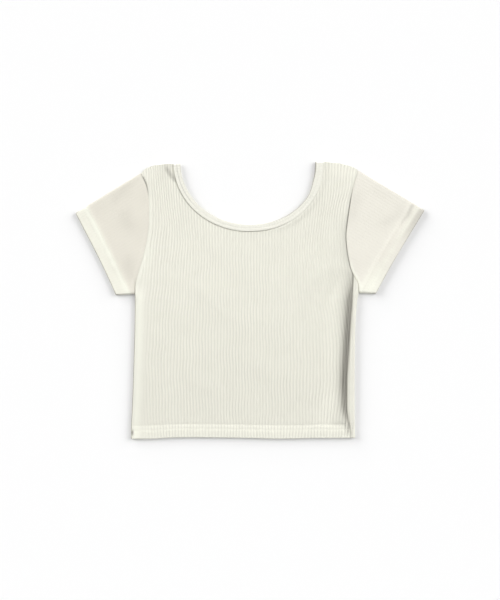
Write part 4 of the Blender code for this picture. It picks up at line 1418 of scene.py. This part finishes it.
    def ring(self, body_share: float, hem_share: float, cells: int) -> tuple[Array, ...]:
        """One row of the shell, all the way round the sleeve.

        Args:
            body_share: how far it lies on the way to the hem's band.
            hem_share: how far across the band it lies.
            cells: how many cells the upper layer has.

        Returns:
            Points of the outside and of the inside, places on the cloth, and shades.
        """
        cut, width = self.cut, self.width_arm
        w, z = self.section(body_share, hem_share, cells)
        upper = np.arange(len(w)) <= cells
        squeezed, start = self.squeeze(w), np.interp(np.clip(w, 0, width), *self.hole.T)
        finish = self.finish(squeezed)
        begin = np.maximum(finish - cut.hem_depth - cut.hem_slope, start + 0.4)
        reach = start + (begin - start) * body_share + (finish - begin) * hem_share
        from_seam, to_hem = reach - start, finish - reach
        wide = w + (squeezed - w) * np.clip(from_seam / (finish - start), 0.0, 1.0)
        y = self.tip[1] + wide * self.across[1] + reach * self.along[1]
        mark = cut.seam_mark(self.pattern.hand, y)
        near = np.minimum(w, width - w)
        lift = self.relief(w, reach, to_hem, from_seam, mark) * self.forms_start.rise(near)
        z = np.where(upper, z + lift, z)
        ring = np.stack([w, z], axis=1)
        slope = np.gradient(np.concatenate([ring[-1:], ring, ring[:1]]), axis=0)[1:-1]
        slope /= np.linalg.norm(slope, axis=1)[:, None]
        facing = np.stack([-slope[:, 1], slope[:, 0]], axis=1)
        crest = np.where(upper, cut.rib(w) * self.rib_height, 0.0) * self.rib_starts.rise(from_seam)
        edge = 1.0 - np.sqrt(1.0 - np.clip(1.0 - to_hem / self.edge_rounding, 0.0, 1.0) ** 2)
        crest = crest - self.edge_drop * edge * ramp(0.5, 3.0, z)
        thickness = cut.wall * (2.0 if hem_share >= 0.2 else 1.0) * self.wall_share
        walls = []
        for shape, step in ((ring + facing * crest[:, None], 1), (ring - facing * thickness, self.samples)):
            shift = shape[::step, 0] - w[::step]
            flat = self.tip + np.outer(wide[::step] + shift, self.across)
            flat = flat + np.outer(reach[::step], self.along)
            walls.append(np.column_stack([flat, shape[::step, 1]]))
        uv = np.stack([np.where(upper, w, 2 * width - w), reach], axis=1)
        return (*walls, uv, self.shade(upper, reach, from_seam, to_hem, w, mark))

    def build(self) -> bpy.types.Object:
        """Makes the sleeve's shell.

        Returns:
            The new object.
        """
        cells = int(round(self.width_arm / (self.cut.rib_pitch / self.samples)))
        rows = [self.ring(body, hem, cells) for body, hem in self.stations()]
        order = -1 if self.pattern.hand is Hand.RIGHT else 1
        outside, inside, uv, shade = (np.array(grid)[::order] for grid in zip(*rows))
        return Shell(self.name, outside, inside, self.samples, uv, shade, True, 55.0).build()

    def shade(
        self, upper: Array, reach: Array, from_seam: Array, to_hem: Array, w: Array, mark: Array
    ) -> Array:
        """How much painted shade each point has, and how pale it is painted.

        Args:
            upper: which points lie on the upper layer.
            reach: distance along the arm.
            from_seam: distance from the armhole.
            to_hem: distance to the hem's edge.
            w: distance from the fold along the arm.
            mark: how tightly the seam is drawn in.

        Returns:
            Two values for each point.
        """
        down = w / self.width_arm
        seam = self.seam_dark * mark * self.cut.seam_shadow.fall(from_seam)
        edge = self.edge_shade * fade(0.1, self.edge_width, to_hem)
        folds = sum((np.clip(-c.rise(reach, w), 0.0, 1.0) for c in self.creases), 0.0 * w)
        # painted shade of a crinkle and of a grey band near the tip
        crinkle = bump(19.4 + 0.9 * np.sin(0.22 * w), 2.9, to_hem)
        folds = folds + 2.6 * (self.tip_shade * self.crinkled_part.fall(down)) * crinkle
        folds = folds + 3.0 * self.tip_shade * self.tip_part.fall(down) * self.tip_edge.fall(to_hem)
        furrow = self.furrow_dark * (1.0 - self.cut.rib(w))
        # painted shade on the under layer, most near the hem's edge
        under = self.under_dark + self.hem_under_dark * self.under_edge.fall(to_hem)
        painted_shade = np.where(upper, np.maximum(seam, edge) + self.crease_dark * folds + furrow, under)
        return np.stack([np.clip(painted_shade, 0.0, 0.9), self.doubled_and_highlight(from_seam, to_hem, w)], axis=-1)

    def doubled_and_highlight(self, from_seam: Array, to_hem: Array, w: Array) -> Array:
        """How pale the cloth is painted: the hem's band for its double cloth and a painted highlight, and
        painted highlights on its ridge and low down the sleeve.
        """
        down = w / self.width_arm
        uneven = 0.75 + 0.25 * np.sin(0.19 * w + 2.2 * np.sin(0.07 * w))
        cloudy = 0.9 + 0.05 * np.sin(0.23 * w + 0.3 * to_hem) + 0.06 * np.sin(0.09 * w - 0.35 * to_hem)
        pale = self.paleness * self.pale_band.fall(to_hem) * cloudy
        pale = pale + self.ridge_highlight * uneven * bump(self.ridge_at, 4.0, to_hem)
        pale = pale + self.low_highlight * self.low_band.fall(to_hem) * self.lower_part.rise(down)
        pale = pale + 1.3 * self.low_highlight * bump(3.2, 2.4, from_seam) * self.lowest_part.rise(down)
        return np.clip(pale, 0.0, 1.0)


# ---------------------------------------------------------------- neck binding


@dataclass
class NeckBinding:
    """The strip folded over the neck's edge: along the front, over each shoulder, and behind."""

    cut: Cut
    width: float = 10.8
    half_thick: float = 1.2
    middle_front: float = 4.0
    middle_back: float = 1.3
    groove_at: float = 5.2
    groove: float = 0.15
    # the section: its soft swells as place, width and height, its rim and the gap in its fold
    swells: tuple[tuple[float, float, float], ...] = ((2.4, 1.6, 0.08), (7.6, 1.8, 0.06))
    rim_reach: float = 1.05
    rim_half: float = 1.1
    fold_gap: float = 0.15
    rib_height: float = 0.22
    samples: int = 6
    widening: float = 0.27
    wide_end: Slope = Slope(155.0, 187.0)
    seam_dark: float = 0.3
    flat_size: tuple[float, float] = (0.0235, 0.715)
    name: str = "neck_binding_knit"

    def section(self) -> tuple[Array, Array]:
        """The folded strip's section, all the way round.

        Returns:
            Distance from the seam into the neck, and height above the strip's middle.
        """
        top = np.array([0.0, 0.5, 1.2, 2.2, 3.2, 4.0, 4.6, 5.2, 5.8, 6.4, 7.2, 8.2, 9.2, 9.9])
        crown = 1.0 - 0.2 * fade(0.0, 0.9, top) - 0.05 * ramp(7.0, 9.9, top)
        z_top = self.half_thick * crown
        for at, width, height in self.swells:
            z_top = z_top + height * bump(at, width, top)
        z_top = z_top - self.groove * bump(self.groove_at, 0.7, top)
        turn = np.linspace(math.pi / 2, -math.pi / 2, 8)[1:-1]
        x_turn = self.width - self.rim_reach + self.rim_reach * np.cos(turn)
        z_turn = self.rim_half * np.sin(turn)
        low = np.array([9.6, 6.0, 2.5, 0.0])
        fold = np.array([0.0, 5.0, 9.3, 9.6, 9.3, 5.0, 0.0])
        gap = self.fold_gap * np.array([-1.0, -1.0, -1.0, 0.0, 1.0, 1.0, 1.0])
        x = np.concatenate([top, x_turn, low, fold])
        z = np.concatenate([z_top, z_turn, np.full(4, -self.half_thick), gap])
        return x, z

    def stations(self) -> tuple[list[tuple], int]:
        """Every station of the strip's run, and how many of them lie on the front."""
        cut = self.cut
        radius = (self.middle_front - self.middle_back) / 2
        reach = radius + self.half_thick
        neck = cut.front_neck
        end_left = float(cut.shoulder(neck.centre_x - neck.half_width)) - reach
        end_right = float(cut.shoulder(neck.centre_x + neck.half_width)) - reach
        end_right = min(end_right, neck.centre_y - 0.5)
        length = math.pi * math.sqrt((neck.half_width**2 + neck.depth**2) / 2)
        front_count = int(length / cut.rib_pitch) * self.samples
        front, front_in = neck.stations(end_left, end_right, front_count)
        back, back_in = cut.back_neck.stations(end_left, end_right, front_count // 2)
        back, back_in = back[::-1], back_in[::-1]
        run = [(p, n, self.middle_front, 0.0, 1.0) for p, n in zip(front, front_in)]
        run += self.turn(front[-1], front_in[-1], back[0], back_in[0], radius, False)
        run += [(p, n, self.middle_back, 0.0, -1.0) for p, n in zip(back, back_in)]
        run += self.turn(back[-1], back_in[-1], front[0], front_in[0], radius, True)
        return run, front_count

    def turn(
        self, start: Array, start_in: Array, stop: Array, stop_in: Array, radius: float, up: bool
    ) -> list[tuple]:
        """Stations of the half turn over a shoulder.

        Args:
            start: the last point of the run before it.
            start_in: that point's way into the neck.
            stop: the first point of the run after it.
            stop_in: that point's way into the neck.
            radius: the turn's radius.
            up: whether it climbs from the back to the front.

        Returns:
            Stations as point, way in, middle height, and the two shares of the section's height.
        """
        middle = (self.middle_front + self.middle_back) / 2
        found = []
        for t in np.linspace(0.0, 1.0, 13)[1:-1]:
            angle = math.pi * (1 - t if up else t)
            share = float(ramp(0.2, 0.8, t))
            edge = start + (stop - start) * share + np.array([0.0, radius * math.sin(angle)])
            inward = start_in + (stop_in - start_in) * share
            height = middle + radius * math.cos(angle)
            found.append((edge, inward, height, math.sin(angle), math.cos(angle)))
        return found

    def build(self) -> bpy.types.Object:
        """Makes the binding as one closed band.

        Returns:
            The new object.
        """
        distance, height = self.section()
        run, front_count = self.stations()
        points, uv, shade = [], [], []
        around = np.concatenate([[0.0], np.cumsum(np.hypot(np.diff(distance), np.diff(height)))])
        travelled, before = 0.0, run[0][0]
        for number, (edge, inward, middle, push_y, push_z) in enumerate(run):
            travelled += float(np.hypot(*(edge - before)))
            before = edge
            rib = float(self.cut.rib(np.array(number * self.cut.rib_pitch / self.samples)))
            raised = (rib - 0.5) * self.rib_height * (number < front_count)
            on_top = (height > 0.5) & (distance > 0.8)
            tall = height + raised * on_top
            wider = 1.0 + self.widening * float(self.wide_end.rise(edge[1])) * (edge[0] > 0)
            flat = edge + np.outer(self.cut.binding_seam + distance * wider, inward)
            y = flat[:, 1] + push_y * tall
            points.append(np.column_stack([flat[:, 0], y, middle + push_z * tall]))
            uv.append(np.column_stack([np.full(len(distance), travelled), around]))
            shade.append(self.shade(distance, height, *edge))
        return self.band(np.array(points), np.array(uv), np.array(shade))

    def shade(self, distance: Array, height: Array, x: float, y: float) -> Array:
        """The painted shade of the seam, the stitched groove, the underside and the inner rim at a station.
        """
        cut, flush = self.cut, float(self.cut.flush_side.rise(x))
        seam = self.seam_dark * fade(0.0, 0.6, distance) * (height > 0) * (1.0 - flush)
        seam = seam * (1.0 - 0.8 * cut.middle.rise(x)) * (1.0 - 0.8 * cut.neck_top.rise(y))
        line = (0.04 + 0.26 * ramp(-80.0, -100.0, x)) * bump(self.groove_at, 0.8, distance) * (height > 0)
        rim = 0.15 + (0.4 + 0.25 * ramp(180.0, 202.0, y)) * flush
        dark = np.maximum.reduce([seam, line, 0.25 * (height < 0), rim * ramp(9.2, 9.9, distance)])
        return np.column_stack([dark, np.zeros(len(dark))])

    def band(self, points: Array, uv: Array, shade: Array) -> bpy.types.Object:
        """Joins the stations' sections, the last to the first, as one closed mesh."""
        stations, around = points.shape[:2]
        index = np.arange(stations * around).reshape(stations, around)
        after, beside = np.roll(index, -1, axis=0), np.roll(index, -1, axis=1)
        corner = np.roll(after, -1, axis=1)
        faces = np.stack([index, after, corner, beside], axis=2).reshape(-1, 4)
        obj = make_piece(self.name, points.reshape(-1, 3), faces.tolist())
        paint(obj.data, uv.reshape(-1, 2), shade.reshape(-1, 2))
        return obj


# ---------------------------------------------------------------- sewing


@dataclass
class NeedleThreads:
    """The coverstitch: two rows of short stitches round each hem."""

    cut: Cut
    front: FrontPanel
    back: BackPanel
    length: float = 2.9
    pitch: float = 3.4
    thickness: float = 0.36
    half_step: float = 0.7
    from_left: float = 4.5
    from_right: float = 3.0
    from_seam: float = 1.9
    bow: float = 0.16
    lift: float = 0.12
    sleeve_lift: float = 0.22

    def stitch(self) -> tuple[Array, list[tuple[int, ...]]]:
        """Models one stitch along X and takes its mesh.

        Returns:
            Its points in millimetres, and its faces in a fixed order.
        """
        bpy.ops.mesh.primitive_uv_sphere_add(segments=6, ring_count=5, radius=0.5)
        ball = bpy.context.active_object
        bpy.ops.object.mode_set(mode="EDIT")
        bpy.ops.mesh.select_all(action="SELECT")
        bpy.ops.transform.rotate(value=math.pi / 2, orient_axis="Y", center_override=(0, 0, 0))
        bpy.ops.transform.resize(value=(self.length, self.thickness, self.thickness))
        bpy.ops.object.mode_set(mode="OBJECT")
        points = np.array([v.co[:] for v in ball.data.vertices])
        size = np.ptp(points, axis=0)
        points = points * np.array([self.length, self.thickness, self.thickness]) / size
        rings = [list(p.vertices) for p in ball.data.polygons]
        firsts = [ring.index(min(ring)) for ring in rings]
        faces = sorted(tuple(ring[first:] + ring[:first]) for ring, first in zip(rings, firsts))
        bpy.data.objects.remove(ball)
        points[:, 2] -= self.bow * (points[:, 0] / (0.5 * self.length)) ** 2
        return points, faces

    def lay(self, name: str, places: list[tuple[Array, Array]]) -> bpy.types.Object:
        """Copies the stitch to its places and joins the copies.

        Args:
            name: the new piece's name.
            places: each stitch's middle, and its direction.

        Returns:
            The joined piece.
        """
        points, faces = self.stitch()
        every, joined = [], []
        for number, (middle, way) in enumerate(places):
            ahead = way / np.linalg.norm(way)
            side = np.cross(np.array([0.0, 0.0, 1.0]), ahead)
            side /= np.linalg.norm(side)
            axes = np.stack([ahead, side, np.cross(ahead, side)])
            every.append(points @ axes + middle)
            joined += [tuple(v + number * len(points) for v in face) for face in faces]
        return make_piece(name, np.concatenate(every), joined)

    def body_hem(self) -> bpy.types.Object:
        """The two rows across the front's hem and over the strip beside it."""
        places = []
        for up in self.front.needle_rows:
            y = self.cut.bottom + up
            left, seam, right = (float(self.cut.side(edge, y)) for edge in ("left", "seam", "right"))
            for x in np.arange(left + self.from_left, right - self.from_right, self.pitch):
                if abs(x - seam) < self.from_seam:
                    continue
                ends = []
                for end in (x - self.half_step, x + self.half_step):
                    here = (np.array(end), np.array(y))
                    if x < seam:
                        rib = self.cut.rib(self.cut.rib_line(*here)) * self.front.ribbing(*here)
                        z = self.front.height(*here) + self.cut.rib_height * 0.6 * rib
                    else:
                        z = self.back.strip_height(*here)
                    ends.append(np.array([end, y + float(self.cut.hem_wave(*here)), float(z) + self.lift]))
                places.append(((ends[0] + ends[1]) / 2, ends[1] - ends[0]))
        return self.lay("hem_threads", places)

    def sleeve_hem(self, sleeve: Sleeve, name: str) -> bpy.types.Object:
        """The two rows across the upper layer of a sleeve's hem."""
        places = []
        width = sleeve.width_arm
        for up in sleeve.needle_rows:
            for w in np.arange(3.2, width - 3.0, self.pitch * width / sleeve.width_hem):
                start = float(np.interp(w, *sleeve.hole.T))
                ends = []
                for at in (w - self.half_step, w + self.half_step):
                    squeezed = float(sleeve.squeeze(np.array(at)))
                    finish = float(sleeve.finish(np.array(squeezed)))
                    reach = finish - up
                    if reach < start + 2.0:
                        break
                    share = (reach - start) / (finish - start)
                    wide = at + (squeezed - at) * share
                    near = min(at, width - at)
                    z = self.cut.hem_top
                    bend = float(fade(sleeve.hem_radius, sleeve.settle, near))
                    z += (2 * sleeve.hem_radius - z) * bend
                    place = (np.array(v) for v in (at, reach, up, reach - start, 0.0))
                    z += float(sleeve.relief(*place)) * float(sleeve.forms_start.rise(near))
                    flat = sleeve.tip + wide * sleeve.across + reach * sleeve.along
                    ends.append(np.array([*flat, z + self.sleeve_lift]))
                if len(ends) == 2:
                    places.append(((ends[0] + ends[1]) / 2, ends[1] - ends[0]))
        return self.lay(name, places)


# ---------------------------------------------------------------- studio


@dataclass(frozen=True)
class Lamp:
    """A far-off lamp: its strength, how wide it looks, its height and the side it stands on."""

    name: str
    strength: float
    spread: float
    elevation: float
    comes_from: tuple[float, float]


@dataclass
class Studio:
    """A white floor, soft lamps from above, the right and the left, white fill, and the camera."""

    field_height: float = 0.945
    centre_x: float = 0.0008
    centre_y: float = 0.0
    lens: float = 85.0
    sensor: float = 36.0
    floor_size: float = 40.0
    floor_drop: float = 0.0003
    fill: float = 0.38
    lamps: tuple[Lamp, ...] = (
        Lamp("overhead", 0.3, 50.0, 80.0, (0.1, 0.4)),
        Lamp("key", 2.1, 46.0, 28.0, (0.9, 0.38)),
        Lamp("side_light", 1.9, 34.0, 22.0, (-0.9, 0.42)),
        Lamp("low_light", 0.85, 20.0, 12.0, (-0.6, 0.8)),
    )
    finish: FloorFinish = field(default_factory=FloorFinish)

    def floor(self) -> bpy.types.Object:
        """Lays the floor just under the garment."""
        bpy.ops.mesh.primitive_plane_add(size=1.0)
        plane = bpy.context.active_object
        plane.name = "floor"
        bpy.ops.object.mode_set(mode="EDIT")
        bpy.ops.mesh.select_all(action="SELECT")
        bpy.ops.transform.resize(value=(self.floor_size, self.floor_size, 1.0))
        bpy.ops.transform.translate(value=(0.0, 0.0, -self.floor_drop))
        bpy.ops.object.mode_set(mode="OBJECT")
        plane.data.materials.append(self.finish.build())
        return plane

    def light(self) -> None:
        """Sets the fill from all round and hangs the lamps."""
        world = bpy.data.worlds.new("studio")
        world.use_nodes = True
        background = world.node_tree.nodes["Background"]
        background.inputs["Color"].default_value = (1.0, 1.0, 1.0, 1.0)
        background.inputs["Strength"].default_value = self.fill
        bpy.context.scene.world = world
        for lamp in self.lamps:
            data = bpy.data.lights.new(lamp.name, "SUN")
            data.energy = lamp.strength
            data.angle = math.radians(lamp.spread)
            holder = bpy.data.objects.new(lamp.name, data)
            aside, ahead = lamp.comes_from
            holder.location = (aside, ahead, math.tan(math.radians(lamp.elevation)))
            tilt = math.radians(90.0 - lamp.elevation)
            holder.rotation_euler = (tilt, 0.0, math.atan2(-ahead, -aside) - math.pi / 2)
            bpy.context.scene.collection.objects.link(holder)

    def camera(self) -> None:
        """Hangs the camera straight above the garment."""
        data = bpy.data.cameras.new("camera")
        data.lens, data.sensor_width = self.lens, self.sensor
        holder = bpy.data.objects.new("camera", data)
        distance = self.field_height * self.lens / data.sensor_width
        holder.location = (self.centre_x, self.centre_y, distance)
        bpy.context.scene.collection.objects.link(holder)
        bpy.context.scene.camera = holder

    def build(self) -> None:
        """Makes floor, lights and camera, and sets plain colour management."""
        self.floor()
        self.light()
        self.camera()
        view = bpy.context.scene.view_settings
        view.view_transform = "Standard"
        view.look = "None"
        view.exposure, view.gamma = 0.0, 1.0


# ---------------------------------------------------------------- putting it together


LEFT_PATTERN = SleeveCut(
    Hand.LEFT,
    (-171.4, 199.2),
    (-273.8, 136.9),
    (-210.2, 7.5),
    (-181.0, 8.1),
    Cut().armhole_left[1:],
    1.4,
)
RIGHT_PATTERN = SleeveCut(
    Hand.RIGHT,
    (171.6, 203.6),
    (275.3, 141.2),
    (198.6, 9.5),
    (172.6, 10.0),
    Cut().armhole_right,
    1.5,
)
LEFT_CREASES = (
    Crease((50.0, 34.0), (64.0, 82.0), 11.0, -0.35),
    Crease((84.0, 100.0), (100.0, 152.0), 9.0, -0.4),
    Crease((30.0, 28.0), (46.0, 84.0), 10.0, 0.35),
    Crease((72.0, 60.0), (92.0, 118.0), 11.0, 0.3),
    Crease((10.0, 8.0), (70.0, 22.0), 7.0, -0.25),
)
RIGHT_CREASES = (
    Crease((96.0, 14.0), (70.0, 62.0), 9.0, -0.35),
    Crease((24.0, 90.0), (78.0, 136.0), 9.0, 0.45),
    Crease((16.0, 30.0), (30.0, 88.0), 9.0, -0.4),
    Crease((108.0, 30.0), (100.0, 76.0), 5.0, 0.3),
)
IVORY = (0.84, 0.83, 0.735)
IVORY_RIB = (0.868, 0.858, 0.76)
# the sleeves' one ivory, darker and warmer on the left for painted shade and lighter on the right for
# painted light
IVORY_SHADED = (0.785, 0.755, 0.665)
IVORY_LIT = (0.84, 0.815, 0.73)
IVORY_PALE = (0.86, 0.85, 0.762)


def main() -> None:
    """Builds each piece in order, dresses it and reports it."""
    bpy.ops.object.select_all(action="DESELECT")
    cut = Cut()
    knit = KnitFinish("ribbed_knit", IVORY_RIB).build()
    back_finish = KnitFinish("back_ribbed_knit", IVORY, drawn_ribs=0.25).build()
    left_finish = KnitFinish("sleeve_left_knit", IVORY_SHADED).build()
    right_finish = KnitFinish("sleeve_right_knit", IVORY_LIT).build()
    band_finish = KnitFinish("binding_knit", IVORY_PALE, wale=0.95, course=1.1).build()
    thread = ThreadFinish().build()
    front = FrontPanel(cut)
    back = BackPanel(cut, front)
    left = Sleeve(cut, LEFT_PATTERN, "sleeve_left_knit", creases=LEFT_CREASES)
    right = Sleeve(
        cut,
        RIGHT_PATTERN,
        "sleeve_right_knit",
        rib_height=0.1,
        paleness=0.0,
        ridge_at=11.5,
        low_highlight=0.7,
        tip_shade=0.45,
        edge_shade=0.42,
        edge_width=1.3,
        creases=RIGHT_CREASES,
    )
    piece = front.build()
    dress(piece, knit)
    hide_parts("front_panel")
    report(piece)
    piece = back.build()
    dress(piece, back_finish)
    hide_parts("back_panel")
    report(piece)
    threads = NeedleThreads(cut, front, back)
    for side, sleeve, finish in (("left", left, left_finish), ("right", right, right_finish)):
        piece = sleeve.build()
        dress(piece, finish)
        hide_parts(f"sleeve_{side}")
        report(piece)
        sewn = threads.sleeve_hem(sleeve, f"sleeve_{side}_threads")
        dress(sewn, thread)
        report(sewn)
    binding = NeckBinding(cut)
    piece = binding.build()
    dress(piece, band_finish)
    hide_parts("neck_binding")
    report(piece)
    sewn = threads.body_hem()
    dress(sewn, thread)
    report(sewn)
    Studio().build()


def report(piece: bpy.types.Object) -> None:
    """Logs a piece's name and how many triangles it has."""
    count = sum(len(p.vertices) - 2 for p in piece.data.polygons)
    log.info("%s: %d triangles", piece.name, count)


if __name__ == "__main__":
    logging.basicConfig(level=logging.INFO, format="%(name)s %(message)s")
    main()
